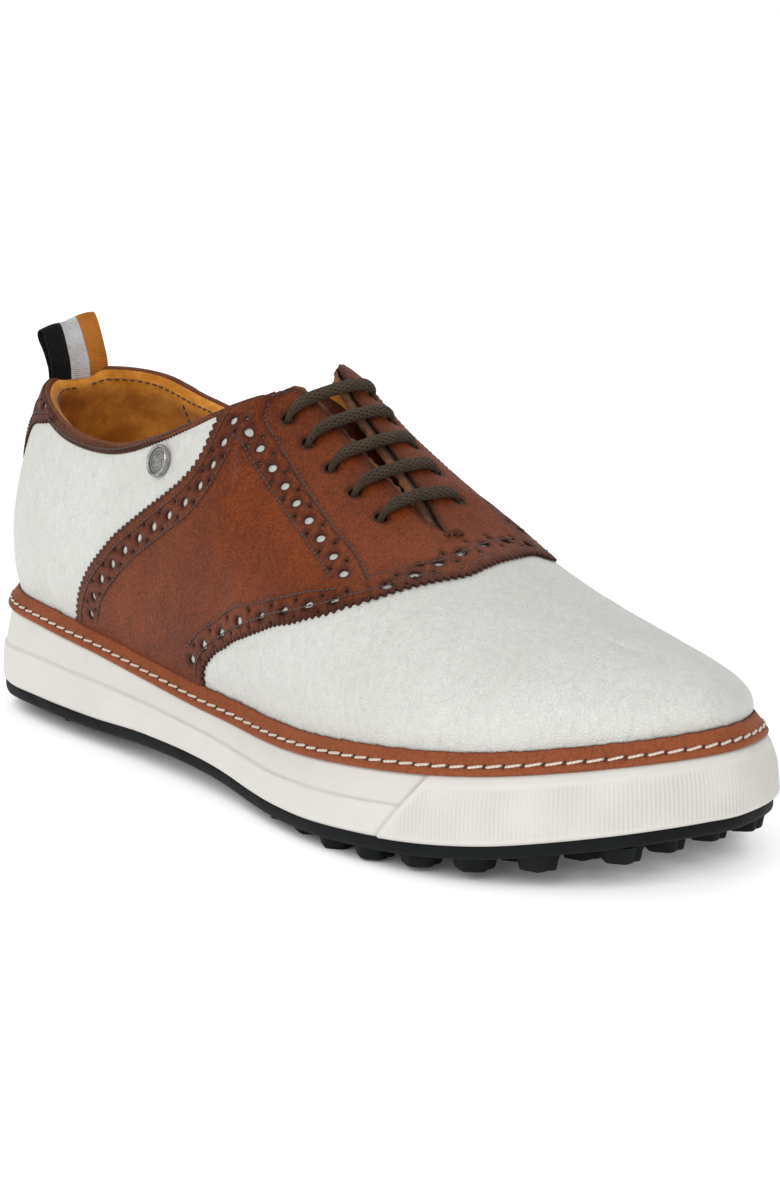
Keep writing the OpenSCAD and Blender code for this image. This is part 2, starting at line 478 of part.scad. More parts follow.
function back(P) = [for (i = [len(P) - 1 : -1 : 0]) P[i]];
tail_in = [[8.6, 0.8, -6], [9.1, 0.7, -6.5], [9.8, 0.6, -7], [10.6, 0.52, -7.4], [11.5, 0.46, -7.8]];
tail_out = [[10.9, 0.8, -6], [10.4, 0.7, -6.5], [9.7, 0.6, -7.2], [8.9, 0.52, -8], [8, 0.46, -9.2]];
end_in = [for (t = tail_in) off(32 - t[0], t[1], t[2])];
end_out = [for (t = tail_out) off(t[0], t[1], t[2])];
function beyond(P, d) = let (n = len(P)) P[n - 1] + d * unit(P[n - 1] - P[n - 2]);
lace_path = concat([beyond(end_in, 21)], back(end_in), back(bar(0)), turn(0, 1, 1), bar(1),
  turn(1, 2, -1), back(bar(2)), turn(2, 3, 1), bar(3), turn(3, 4, -1), back(bar(4)), end_out,
  [beyond(end_out, 21)]);
module lace() { color([0.25, 0.19, 0.14]) cord(lace_path, lr, 8); }
module sleeve(a, b) {
  d = b - a; l = norm(d); z = d / l; x = unit(cross([0, 0, 1], z)); y = cross(z, x);
  multmatrix([[x[0], y[0], z[0], a[0]], [x[1], y[1], z[1], a[1]], [x[2], y[2], z[2], a[2]],
    [0, 0, 0, 1]]) difference() {
      cylinder(d = lace_d + 0.9, h = l + 1.5, $fn = 32);
      translate([0, 0, -1]) cylinder(d = lace_d + 0.1, h = l + 1.2, $fn = 32);
    }
}
module aglets() {
  color([0.2, 0.15, 0.11]) for (P = [end_in, end_out]) sleeve(beyond(P, 2), beyond(P, 21));
}

// ---------------- fittings ----------------
module pull_tab() {
  // ribbon loop standing on the top line, leaning back a little
  x = tab_width / 2; t = tab_thick;
  o = [[129.8, 104.6], [131.1, 107.8], [133.6, 113], [136.4, 118], [136.9, 120.8]];
  loop = concat([for (p = o) p], [[135.4, 122.2], [133.6, 121.4]],
    [[131.9, 118], [129.8, 113], [127.9, 107.8], [127.3, 104.6]]);
  n = len(loop);
  function nrm(i) = let (d = unit(loop[min(i + 1, n - 1)] - loop[max(i - 1, 0)])) [-d[1], d[0]];
  color([0.85, 0.6, 0.3]) shell(
    [for (i = [0 : n - 1]) [for (s = [-1, 1]) [s * x + cx, loop[i][0] + cy, loop[i][1]]]],
    [for (i = [0 : n - 1]) let (q = loop[i] + t * nrm(i))
      [for (s = [-1, 1]) [s * x + cx, q[0] + cy, q[1]]]]);
}
module badge() {
  color([0.6, 0.6, 0.6]) on_skin(4.9, 0.842, 0.45) {
    difference() {
      cylinder(d = badge_d, h = 1.8, $fn = 48);
      translate([0, 0, 1.2]) cylinder(d = badge_d - 2, h = 1, $fn = 48);
    }
    for (x = [-2.5, 2.5]) translate([x, 0, -0.42]) cylinder(d = 1.2, h = 0.5, $fn = 24);
  }
}

outsole();
midsole();
welt();
welt_thread();
forefoot_filler();
heel_wedge();
shank();
insole_board();
footbed();
toe_puff();
heel_counter();
vamp();
vamp_lining();
quarter_lateral();
quarter_medial();
quarter_lining_lateral();
quarter_lining_medial();
heel_lining();
collar_foam();
wing_lateral();
wing_medial();
gimp_lateral();
gimp_medial();
facing();
facing_stays();
eyelets();
throat_tab();
collar_lateral();
collar_medial();
heel_tab();
tongue();
tongue_lining();
lace();
aglets();
pull_tab();
badge();
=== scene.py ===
import math
import bpy
import numpy as np
from mathutils import Matrix, Vector, kdtree
from mathutils.geometry import delaunay_2d_cdt


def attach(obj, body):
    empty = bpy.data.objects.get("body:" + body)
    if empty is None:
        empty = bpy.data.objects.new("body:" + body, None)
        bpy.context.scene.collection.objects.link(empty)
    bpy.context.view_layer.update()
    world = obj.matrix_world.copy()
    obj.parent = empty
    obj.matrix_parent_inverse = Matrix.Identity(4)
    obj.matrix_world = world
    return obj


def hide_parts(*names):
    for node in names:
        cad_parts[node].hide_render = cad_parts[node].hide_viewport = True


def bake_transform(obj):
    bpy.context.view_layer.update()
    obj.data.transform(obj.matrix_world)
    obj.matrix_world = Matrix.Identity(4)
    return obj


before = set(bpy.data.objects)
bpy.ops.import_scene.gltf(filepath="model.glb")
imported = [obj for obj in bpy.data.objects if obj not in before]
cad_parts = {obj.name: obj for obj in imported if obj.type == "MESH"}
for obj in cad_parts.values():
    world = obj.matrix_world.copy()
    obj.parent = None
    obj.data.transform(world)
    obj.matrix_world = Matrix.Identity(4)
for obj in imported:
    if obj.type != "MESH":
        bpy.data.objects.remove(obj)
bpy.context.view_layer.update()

rnd = np.random.RandomState(7)

# ---- the lasted skin, as in part.scad
CX, CY = -1.16, 0.85
S = np.array([
    [2, 150, 0, 129.5, 102, 5, 20, 10, -22], [-19, 143.5, -11, 127, 101.5, 5, 20, 9, -21],
    [-33, 125, -21, 114, 98, 5, 19, 8, -19], [-37.5, 98, -27, 92, 92, 5, 18, 6, -17],
    [-39, 68, -28.5, 66, 90.3, 5, 18, 6, -17], [-40.5, 40, -27, 42, 96, 4, 22, 7, -18],
    [-42, 18, -23, 23, 103.5, 4, 26, 11, -16], [-43.5, 2, -16, 11, 108.5, 4, 28, 16, -10],
    [-45, -9, -5, 7, 109.5, 5, 30, 24, -8], [-47.5, -22, -2.8, -6, 100.5, 5, 28, 26, -7],
    [-50.5, -38, -2.2, -19, 92.5, 5, 26, 28, -6], [-52.5, -57, -1, -32, 84.5, 5, 24, 30, -6],
    [-51.5, -78, 2, -46, 75.5, 5, 21, 32, -4], [-46.5, -100, 3, -68, 67, 5, 19, 29, -3],
    [-36.5, -120, 4, -90, 60, 5, 16, 26, -2], [-17, -141, 5, -106, 56.5, 5, 12, 20, -1],
    [8, -151, 6, -112, 55, 5, 11, 18, -1], [33, -141, 5, -106, 56.5, 4, 10, 18, -1],
    [48.5, -120, 4, -90, 60, 4, 12, 21, -2], [54, -100, 3, -68, 67, 4, 16, 25, -3],
    [54.5, -78, 2, -46, 75.5, 4, 21, 30, -2], [51, -57, 4.5, -32, 85.5, 4, 26, 33, -1],
    [46, -38, 6, -18.5, 94.5, 4, 28, 33, -1], [41, -22, 7, -5, 104, 4, 29, 30, -2],
    [37, -9, 9, 8, 114, 4, 30, 25, -4], [34.5, 2, 16, 15, 112.5, 4, 28, 14, -10],
    [33, 18, 21, 28, 105, 4, 26, 9, -16], [33, 40, 25, 45, 97, 4, 22, 6, -18],
    [34, 68, 26.5, 68, 92, 5, 18, 5, -18], [35.5, 98, 26, 93, 95.5, 5, 18, 5, -18],
    [33, 125, 22, 114, 101.5, 5, 19, 7, -20], [22, 143.5, 11, 127, 103.5, 5, 20, 9, -21]], float)
WALL_TOP = np.array([[150, 32.5], [110, 31.5], [70, 28.5], [40, 25.5], [10, 23], [-30, 22.5],
                     [-70, 25], [-110, 28.5], [-150, 34.5]], float)
WALL_LOW = np.array([[150, 8], [110, 9], [70, 9], [40, 10], [10, 9.5], [-30, 7], [-70, 8],
                     [-110, 11], [-150, 18]], float)
EDGE, LUG = 3.0, 4.5            # outsole edge below the wall, and how far its lugs stand out

RINGS = 32                      # outline points round the last; heel 0, toe 16
PATTERN = np.array([16.0, 80.0])    # about how many mm one unit of u and of v is
TURN = 6.2832                   # one turn, in the materials and the thread attribute
OUT = 1 - 1e-6, 1 + 1e-6        # pattern y of the slit's two sides: outer, inner


def run(P):
    """length along the points P, from 0"""
    return np.r_[0, np.cumsum(np.linalg.norm(np.diff(P, axis=0), axis=1))]


def unit(T):
    return T / np.linalg.norm(T, axis=-1, keepdims=True)


def along(q, s, P):
    """the points P, or other columns, at lengths q"""
    return np.stack([np.interp(q, s, P[:, i]) for i in range(P.shape[1])], -1)


def circle(n):
    return np.linspace(0, math.tau, n, endpoint=False)


def hermite(a, b, m0, m1, f):
    return (a * (2 * f ** 3 - 3 * f * f + 1) + b * (3 * f * f - 2 * f ** 3)
            + m0 * (f ** 3 - 2 * f * f + f) + m1 * (f ** 3 - f * f))


def across(N, a):
    """two unit steps in the plane square to N, the first as near to a as it can be"""
    a = a - N * (a @ N)
    a /= np.linalg.norm(a)
    return a, np.cross(N, a)


def flip(v):
    """a pattern's height above the welt, for both halves"""
    return np.where(v > 1, 2 - v, v)


def sided(u, v, side):
    """pattern place of skin place u, v on the outer (1) or inner (-1) half"""
    return (u, v) if side > 0 else (u, 2 - np.minimum(v, OUT[0]))


def tag(side):
    return "outer" if side > 0 else "inner"


def cad(part, side):
    return (part + ("_lateral" if side > 0 else "_medial"),)


def cr(a, b, c, d, f):
    return 0.5 * (2 * b + (c - a) * f + (2 * a - 5 * b + 4 * c - d) * f * f
                  + (3 * b - a - 3 * c + d) * f ** 3)


def ring(T, u):
    """row of a table round the shoe at u"""
    u = np.asarray(u, float) % RINGS
    i = np.floor(u).astype(int)
    return cr(*(T[(i + k) % RINGS] for k in (-1, 0, 1, 2)), (u - i)[..., None])


def level(T, y):
    """height from a table of rows [y, height] at y"""
    y = np.asarray(y, float)
    n = len(T)
    i = np.clip(np.searchsorted(-T[:, 0], -y, side="right") - 1, 0, n - 2)
    f = (T[i, 0] - y) / (T[i, 0] - T[i + 1, 0])
    V = T[:, 1]
    s = np.clip(i + np.clip(f, 0, 1), 0, n - 1)
    i = np.minimum(np.floor(s).astype(int), n - 2)
    a = np.where(i == 0, 2 * V[0] - V[1], V[np.maximum(i - 1, 0)])
    d = np.where(i + 2 > n - 1, 2 * V[n - 1] - V[n - 2], V[np.minimum(i + 2, n - 1)])
    return cr(a, V[i], V[i + 1], d, s - i)


def ramp(x, a, b):
    t = np.clip((np.asarray(x, float) - a) / (b - a), 0, 1)
    return t * t * (3 - 2 * t)


def oxy(u):
    """outline of the cup sole's wall, seen from above"""
    return ring(S[:, :2], u) + [CX, CY]


def out2(u):
    """unit step out of that outline"""
    d = unit(oxy(np.asarray(u) + 0.001) - oxy(np.asarray(u) - 0.001))
    return np.stack([d[..., 1], -d[..., 0]], -1)


def inset(u, k):
    return oxy(u) - np.asarray(k)[..., None] * out2(u)


def ztop(u):
    return level(WALL_TOP, inset(u, 3.0)[..., 1] - CY)


def zlow(u):
    return level(WALL_LOW, oxy(u)[..., 1] - CY)


def at(u, k, z):
    """points k mm inside the outline at height z"""
    p = inset(u, np.asarray(k, float))
    return np.concatenate([p, np.broadcast_to(z, p.shape[:-1])[..., None]], -1)


def top_edge(u):
    w = np.asarray(u, float) % RINGS
    a, b = ring(S[:, 2:5], w), ring(S[:, 2:5], RINGS - w)
    m = np.where((np.abs(w - 16) <= 4)[..., None], b, a)
    return (a + m) / 2 + [CX, CY, 0]


def mer(u):
    """the four control points of the skin's line from the welt up to the top edge"""
    r, n = ring(S, u), out2(u)
    b = at(u, 6.5, ztop(u) + 5.5)
    t = top_edge(u)
    n3 = np.concatenate([n, np.zeros(n.shape[:-1] + (1,))], -1)
    z = np.array([0, 0, 1.0])
    return (b, b + n3 * r[..., 5:6] + z * r[..., 6:7], t + n3 * r[..., 7:8] + z * r[..., 8:9], t)


def bez(m, v):
    v = np.asarray(v, float)[..., None]
    w = 1 - v
    return m[0] * w ** 3 + 3 * m[1] * w * w * v + 3 * m[2] * w * v * v + m[3] * v ** 3


def fold(x, y):
    """pattern place to skin place: y above 1 is the inner half, seen past the ridge or the slit"""
    x, y = np.broadcast_arrays(np.asarray(x, float), np.asarray(y, float))
    return np.where(y > 1, RINGS - x, x), flip(y)


def sk(x, y):
    u, v = fold(x, y)
    return bez(mer(u), v)


def skn1(u, v):
    q = np.clip(v, 0, 0.985)
    m = mer(u)
    a = bez(mer(u + 0.01), q) - bez(mer(u - 0.01), q)
    b = bez(m, np.minimum(q + 0.01, 1)) - bez(m, np.maximum(q - 0.01, 0))
    return unit(np.cross(a, b))


def skn(x, y):
    u, v = fold(x, y)
    n = skn1(u, v)
    w = (ramp(v, 0.8, 1) * 0.5 * (np.abs(u % 32 - 16) <= 4.3))[..., None]
    return unit(n * (1 - w) + skn1(RINGS - u, v) * w)


WAVES = 7


def soft(p, seed, size):
    """smooth bumps of about that size, -1 to 1, from a few crossed waves"""
    r = np.random.RandomState(seed)
    out = 0
    for _ in range(WAVES):
        d = r.normal(size=3)
        d /= np.linalg.norm(d)
        out = out + np.sin(p @ d * (math.tau / size / r.uniform(0.7, 1.6)) + r.uniform(0, 6.28))
    return out / WAVES ** 0.5


def off(u, v, d, live=True):
    """point d mm outside the skin; the leather's slow unevenness is the same for every layer"""
    p, n = sk(u, v), skn(u, v)
    u, v = fold(u, v)
    d = np.asarray(d, float)
    if live:
        calm = ramp(v, 0, 0.12)
        w = 0.10 * soft(p, 3, 26) + 0.05 * soft(p, 4, 11)
        # flex creases over the toes and a light pull round the lacing
        x = np.where(u > 16, RINGS - u, u)
        crease = np.exp(-((x - 12.6) / 0.9) ** 2) * np.exp(-((v - 0.62) / 0.3) ** 2)
        ripple = np.sin(p[..., 1] * 0.85 + p[..., 0] * 0.12 + 1.3 * soft(p, 5, 18))
        w = w - 0.10 * crease * (0.5 + 0.5 * ripple)
        d = d + w * calm
    return p + n * d[..., None]


def uvvec(u, v, W):
    """(dx, dy) of the pattern that moves by the vector W along the skin"""
    h = 0.004
    sg = np.where(np.asarray(v) > 1, -1.0, 1.0)[..., None]
    u, v = fold(u, v)
    m = mer(u)
    a = (bez(mer(u + h), v) - bez(mer(u - h), v)) / (2 * h)
    b = (bez(m, np.minimum(v + h, 1)) - bez(m, v - h)) / (np.minimum(v + h, 1) - (v - h))[..., None]
    E, F, G = (a * a).sum(-1), (a * b).sum(-1), (b * b).sum(-1)
    p, q = (W * a).sum(-1), (W * b).sum(-1)
    D = E * G - F * F
    return np.stack([(G * p - F * q) / D, (E * q - F * p) / D], -1) * sg


def half(rows, side):
    """pattern rows [x, y] of the outer half, or the same mirrored to the inner half"""
    R = np.array(rows, float)
    if side < 0:
        R[:, 1] = np.maximum(2 - R[:, 1], OUT[1])
    return R


class Line:
    """a line on the skin from rows [u, v], smoothed, with its length measured on the leather"""

    def __init__(s, rows, side=1, n=500, smooth=True):
        R = half(rows, side)
        t = run(R * PATTERN)
        q = np.linspace(0, t[-1], n)
        if smooth:
            i = np.clip(np.searchsorted(t, q, side="right") - 1, 0, len(R) - 2)
            f = ((q - t[i]) / (t[i + 1] - t[i]))[:, None]
            g = np.gradient(R, t, axis=0)
            h = (t[i + 1] - t[i])[:, None]
            s.uv = hermite(R[i], R[i + 1], h * g[i], h * g[i + 1], f)
        else:
            s.uv = along(q, t, R)
        s.go()

    def go(s):
        s.s = run(sk(s.uv[:, 0], s.uv[:, 1]))
        s.len = s.s[-1]

    def at(s, d):
        return along(np.asarray(d, float), s.s, s.uv)

    def left(s, d):
        """uv step of 1 mm to the left of the line, seen from outside the shoe"""
        a, b = s.at(d - 0.4), s.at(d + 0.4)
        T = sk(b[..., 0], b[..., 1]) - sk(a[..., 0], a[..., 1])
        T /= np.linalg.norm(T, axis=-1, keepdims=True) + 1e-9
        c = s.at(d)
        B = np.cross(skn(c[..., 0], c[..., 1]), T)
        return uvvec(c[..., 0], c[..., 1], B)

    def beside(s, k, a=0.0, b=None, n=400):
        """the line k mm to the left, between lengths a and b"""
        d = np.linspace(a, s.len if b is None else b, n)
        r = Line.__new__(Line)
        r.uv = s.at(d) + s.left(d) * k
        r.go()
        return r

    def below(s, y=0.985):
        """keeps the part that stays under the top edge"""
        s.uv = s.uv[s.uv[:, 1] < y]
        s.go()
        return s


# ---- meshes
def place(name, data):
    ob = bpy.data.objects.new(name, data)
    bpy.context.scene.collection.objects.link(ob)
    return ob


def mesh(name, V, F, mat, rep=(), attrs=None, sharp=None, body="shoe"):
    """a closed piece from points in mm and face arrays, riding on its body"""
    me = bpy.data.meshes.new(name)
    V = np.asarray(V).reshape(-1, 3)
    F = orient(V, F)
    V = np.asarray(V, np.float32) * 0.001
    me.vertices.add(len(V))
    me.vertices.foreach_set("co", V.ravel())
    F = [np.asarray(f, int) for f in F if len(f)]
    L = np.concatenate([f.ravel() for f in F])
    n = np.concatenate([np.full(len(f), f.shape[1]) for f in F])
    me.loops.add(len(L))
    me.loops.foreach_set("vertex_index", L)
    me.polygons.add(len(n))
    me.polygons.foreach_set("loop_start", np.r_[0, np.cumsum(n)[:-1]])
    me.update(calc_edges=True)
    me.validate()
    me.polygons.foreach_set("use_smooth", np.ones(len(me.polygons), bool))
    for k, a in (attrs or {}).items():
        a = np.ravel(a).astype(np.float32)
        me.attributes.new(k, "FLOAT", "POINT").data.foreach_set("value", a)
    if sharp:
        me.set_sharp_from_angle(angle=math.radians(sharp))
    ob = place(name, me)
    me.materials.append(mat)
    if body:
        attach(ob, body)
    if rep:
        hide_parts(*rep)
    return ob


def grid_faces(n, m, a=0, wrap=False):
    """quads of an n by m grid of points that starts at number a"""
    i, j = np.meshgrid(np.arange(n - (not wrap)), np.arange(m - 1), indexing="ij")
    k = (i + 1) % n
    return np.stack([i * m + j, k * m + j, k * m + j + 1, i * m + j + 1], -1).reshape(-1, 4) + a


def bar(G):
    """closed bar from a profile that is open at its back: n cuts by m points"""
    n, m = G.shape[:2]
    i = np.arange(n - 1) * m
    return G, [grid_faces(n, m), np.stack([i, i + m - 1, i + 2 * m - 1, i + m], -1),
               np.arange(m)[None, :], np.arange((n - 1) * m, n * m)[None, ::-1]]


def shell(A, B):
    """closed shell from two grids of points, n by m by 3 each, A outside"""
    n, m = A.shape[:2]
    V = np.concatenate([A.reshape(-1, 3), B.reshape(-1, 3)])
    k = n * m
    r = np.r_[np.arange(m), np.arange(1, n) * m + m - 1, (n - 1) * m + np.arange(m - 2, -1, -1),
              np.arange(n - 2, 0, -1) * m]
    w = np.stack([r, np.roll(r, -1), np.roll(r, -1) + k, r + k], -1)
    return V, [grid_faces(n, m), grid_faces(n, m, k)[:, ::-1], w[:, ::-1]]


def orient(V, F):
    """turns a closed mesh the right way out"""
    v = 0
    for f in F:
        for j in range(1, f.shape[1] - 1):
            a, b, c = V[f[:, 0]], V[f[:, j]], V[f[:, j + 1]]
            v += (np.cross(a, b) * c).sum()
    return [f[:, ::-1] for f in F] if v < 0 else F


def near(P, Q):
    """distance from each P to the nearest Q"""
    t = kdtree.KDTree(len(Q))
    for i, q in enumerate(Q):
        t.insert(q, i)
    t.balance()
    return np.array([t.find(p)[2] for p in P])


def cut_sheet(outer, holes, step, margin):
    """triangles of a flat pattern piece in u, v with its holes cut out: points and faces"""
    loops = [np.asarray(l) * PATTERN for l in [outer, *holes]]
    for i, l in enumerate(loops):
        n = np.roll(l, -1, axis=0)
        if (l[:, 0] * n[:, 1] - l[:, 1] * n[:, 0]).sum() < 0:
            loops[i] = l[::-1]
    lo, hi = loops[0].min(0), loops[0].max(0)
    gx, gy = np.meshgrid(np.arange(lo[0], hi[0], step), np.arange(lo[1], hi[1], step))
    gx[1::2] += step / 2
    G = np.stack([gx.ravel(), gy.ravel()], -1)
    rim = np.concatenate(loops)
    d = near(np.c_[G, np.zeros(len(G))], np.c_[rim, np.zeros(len(rim))])
    pts = np.concatenate([rim, G[d > margin]])
    ends = np.cumsum([len(l) for l in loops])
    faces = [list(range(b - len(l), b)) for l, b in zip(loops, ends)]
    co, _, fa, _, _, of = delaunay_2d_cdt([Vector(p) for p in pts], [], faces, 0, 1e-5)
    co = np.array([tuple(c) for c in co])
    # keep what is inside the outline and in no hole, all turned the same way
    F = np.array([f for f, o in zip(fa, of) if 0 in o and len(o) == 1])
    used = np.unique(F)
    F, co = np.searchsorted(used, F), co[used]
    a, b, c = co[F[:, 0]], co[F[:, 1]], co[F[:, 2]]
    neg = np.cross(b - a, c - a) < 0
    F[neg] = F[neg][:, ::-1]
    return co / PATTERN, F


def rim_edges(F):
    """edges that only one triangle has"""
    e = np.concatenate([F[:, [0, 1]], F[:, [1, 2]], F[:, [2, 0]]])
    _, idx, cnt = np.unique(np.sort(e, 1), axis=0, return_index=True, return_counts=True)
    return e[idx[cnt == 1]]


GROOVE, GROOVE_W = 0.25, 0.75       # depth and half width of a sewn line
EDGE_ROLL, EDGE_ROLL_W = 0.35, 0.45     # how a cut edge rounds off


def leather_piece(name, outer, holes, d_top, d_bot, mat, rep, lines=(), step=1.5, shape=None,
                  margin=0.5):
    """a pattern piece lying on the skin, with its real cut edge, holes and stitch grooves"""
    uv, F = cut_sheet(outer, holes, step, margin)
    R = rim_edges(F)
    base = sk(uv[:, 0], uv[:, 1])
    rim = np.unique(R)
    # measure to points along the rim, so the burnish follows the cut edge
    e = near(base, base[rim])
    e[rim] = 0
    g = np.zeros(len(uv))
    if len(lines):
        Q = np.concatenate([sk(l.uv[:, 0], l.uv[:, 1]) for l in lines])
        g = np.exp(-(near(base, Q) / GROOVE_W) ** 2)
    top = np.asarray(d_top if shape is None else d_top + shape(uv), float)
    top = top - GROOVE * g - EDGE_ROLL * np.exp(-(e / EDGE_ROLL_W) ** 1.5)
    A, B = off(uv[:, 0], uv[:, 1], top), off(uv[:, 0], uv[:, 1], d_bot)
    n = len(A)
    W = np.stack([R[:, 1], R[:, 0], R[:, 0] + n, R[:, 1] + n], -1)
    return mesh(name, np.concatenate([A, B]), [F, F[:, ::-1] + n, W], mat, rep,
                {"edge": np.r_[e, np.zeros(n)], "seam": np.r_[g, g]}, sharp=50)


# ---- materials
class Mat:
    """small builder for node materials; its coordinates are metres"""

    def __init__(s, name):
        s.m = bpy.data.materials.new(name)
        s.m.use_nodes = True
        s.t = s.m.node_tree
        s.t.nodes.clear()
        out = s.t.nodes.new("ShaderNodeOutputMaterial")
        s.b = s.t.nodes.new("ShaderNodeBsdfPrincipled")
        s.t.links.new(s.b.outputs[0], out.inputs[0])
        s.co = s.t.nodes.new("ShaderNodeTexCoord").outputs["Object"]

    def n(s, kind, out=0, props=None, **ins):
        x = s.t.nodes.new("ShaderNode" + kind)
        for k, v in (props or {}).items():
            setattr(x, k, v)
        for k, v in ins.items():
            i = x.inputs[int(k[1:])] if k[0] == "i" and k[1:].isdigit() else x.inputs[k]
            s.put(i, v)
        return x.outputs[out]

    def put(s, i, v):
        if isinstance(v, bpy.types.NodeSocket):
            s.t.links.new(v, i)
        else:
            i.default_value = v

    def math(s, op, a, b=0.0):
        return s.n("Math", props={"operation": op}, i0=a, i1=b, i2=0.0)

    def mul(s, a, b):
        return s.math("MULTIPLY", a, b)

    def add(s, a, b):
        return s.math("ADD", a, b)

    def sine(s, x, period):
        return s.math("SINE", s.mul(x, TURN / period))

    def noise(s, scale, detail=3.0, rough=0.55, co=None, dist=0.0):
        return s.n("TexNoise", Vector=co or s.co, Scale=scale, Detail=detail, Roughness=rough,
                   Distortion=dist)

    def streaks(s, co, times, scale, detail, rough, dist=0.0):
        """noise on a place stretched by `times` along the three axes"""
        v = s.n("VectorMath", props={"operation": "MULTIPLY"}, i0=co, i1=times)
        return s.noise(scale, detail, rough, v, dist)

    def cells(s, scale, feature="DISTANCE_TO_EDGE", co=None):
        return s.n("TexVoronoi", props={"feature": feature}, Vector=co or s.co, Scale=scale,
                   Randomness=1.0)

    def span(s, x, a, b, lo=0.0, hi=1.0):
        """smooth step: lo at a, hi at b"""
        return s.n("MapRange", props={"interpolation_type": "SMOOTHSTEP"}, i0=x, i1=a, i2=b,
                   i3=lo, i4=hi)

    def mix(s, f, a, b, how="MIX"):
        x = s.t.nodes.new("ShaderNodeMix")
        x.data_type, x.blend_type = "RGBA", how
        for i, v in ((0, f), (6, a), (7, b)):
            s.put(x.inputs[i], v)
        return x.outputs[2]

    def attr(s, name):
        return s.n("Attribute", 2, {"attribute_name": name})

    def bump(s, h, dist, strength=1.0, **normal):
        return s.n("Bump", Height=h, Distance=dist, Strength=strength, **normal)

    def warp(s, amount, scale):
        """object place moved about by noise"""
        c = s.n("TexNoise", 1, Vector=s.co, Scale=scale, Detail=2.0)
        return s.n("VectorMath", props={"operation": "MULTIPLY_ADD"}, i0=c, i1=(amount,) * 3, i2=s.co)

    def end(s, color, rough, normal=None, **flat):
        s.put(s.b.inputs["Base Color"], color)
        s.put(s.b.inputs["Roughness"], rough)
        if normal is not None:
            s.put(s.b.inputs["Normal"], normal)
        for k, v in flat.items():
            s.b.inputs[k.replace("_", " ")].default_value = v
        return s.m


def srgb(*c):
    return tuple(x / 255 / 12.92 if x / 255 <= 0.04045 else ((x / 255 + 0.055) / 1.055) ** 2.4
                 for x in c) + (1.0,)


def leather_mat(name, light, mid, dark, burn, grain=900.0, gloss=0.42, coat=0.25, pull=0.0002,
                mottle=1.0):
    """smooth aniline leather: cloudy burnish, fine creased grain, dark cut edges and stitch lines"""
    light, mid, dark, burn = srgb(*light), srgb(*mid), srgb(*dark), srgb(*burn)
    m = Mat(name)
    w = m.warp(0.004, 60)
    big = m.noise(26, 4, 0.6)
    cloud = m.noise(110, 5, 0.62, w)
    c = m.mix(m.span(m.add(big, m.mul(cloud, 0.5)), 0.52, 1.0), mid, light)
    c = m.mix(m.mul(m.span(cloud, 0.45, 0.78), 0.55 * mottle), c, dark)
    line = m.span(m.cells(grain, co=w), 0.0, 0.09, 1.0, 0.0)
    c = m.mix(m.mul(line, 0.45), c, dark)
    # short upright creases of the hide; their colour follows the crease relief, painted highlight on the
    # crowns and painted shade in the hollows
    up = m.streaks(w, (1.0, 1.0, 0.75), 1100.0, 4.0, 0.62)
    c = m.mix(m.span(up, 0.47, 0.66, 0.0, 0.5), c, light)
    c = m.mix(m.span(up, 0.49, 0.33, 0.0, 0.4), c, dark)
    c = m.mix(m.span(m.noise(15, 2), 0.45, 0.72, 0.0, 0.4), c, dark)
    burnt = m.span(m.add(m.attr("edge"), m.mul(m.noise(500, 2), 1.6)), 0.7, 2.9, 1.0, 0.0)
    c = m.mix(m.mul(burnt, 0.82), c, burn)
    c = m.mix(m.mul(m.attr("seam"), 0.4), c, burn)
    c = m.mix(m.span(m.noise(2600, 2, 0.5), 0.3, 0.75, 0.0, 0.18), c, dark)
    crease = m.streaks(w, (1.0, 0.35, 1.3), 260.0, 4.0, 0.65)
    h = m.add(m.mul(line, -0.5), m.mul(crease, 0.9))
    h = m.add(h, m.add(m.mul(m.noise(2200, 3), 0.35), m.mul(up, 1.3)))
    nrm = m.bump(h, pull)
    nrm = m.bump(m.noise(60, 3), 0.0004, 0.5, Normal=nrm)
    r = m.add(gloss, m.mul(m.add(cloud, m.mul(line, 0.5)), 0.16))
    return m.end(c, r, nrm, Coat_Weight=coat * 0.45, Coat_Roughness=0.26, Specular_IOR_Level=0.12)


def tumbled_mat(name, light, shade):
    """white milled leather: soft pebble grain with deeper wrinkles"""
    m = Mat(name)
    w = m.warp(0.003, 90)
    groove = m.span(m.cells(980, co=w), 0.0, 0.16, 1.0, 0.0)
    wrinkle = m.streaks(w, (1.25, 1.25, 0.7), 360.0, 5.0, 0.66, 0.9)
    valley_shade = m.span(wrinkle, 0.34, 0.5, 1.0, 0.0)
    c = m.mix(m.span(m.noise(24, 3), 0.35, 0.7, 0.0, 0.6), srgb(*light), srgb(*shade))
    c = m.mix(m.mul(groove, 0.05), c, srgb(150, 146, 132))
    # painted shade: the wrinkle valleys are darkened
    c = m.mix(m.mul(valley_shade, 0.12), c, srgb(160, 157, 146))
    c = m.mix(m.span(m.attr("edge"), 0.0, 0.5, 0.55, 0.0), c, srgb(170, 164, 148))
    h = m.add(m.mul(groove, -0.22), m.mul(wrinkle, 1.5))
    h = m.add(h, m.mul(m.noise(1900, 2), 0.25))
    nrm = m.bump(h, 0.0004)
    nrm = m.bump(m.noise(70, 2), 0.0006, 0.35, Normal=nrm)
    r = m.add(0.42, m.mul(m.add(groove, wrinkle), 0.14))
    return m.end(c, r, nrm, Coat_Weight=0.12, Coat_Roughness=0.4, Specular_IOR_Level=0.5)


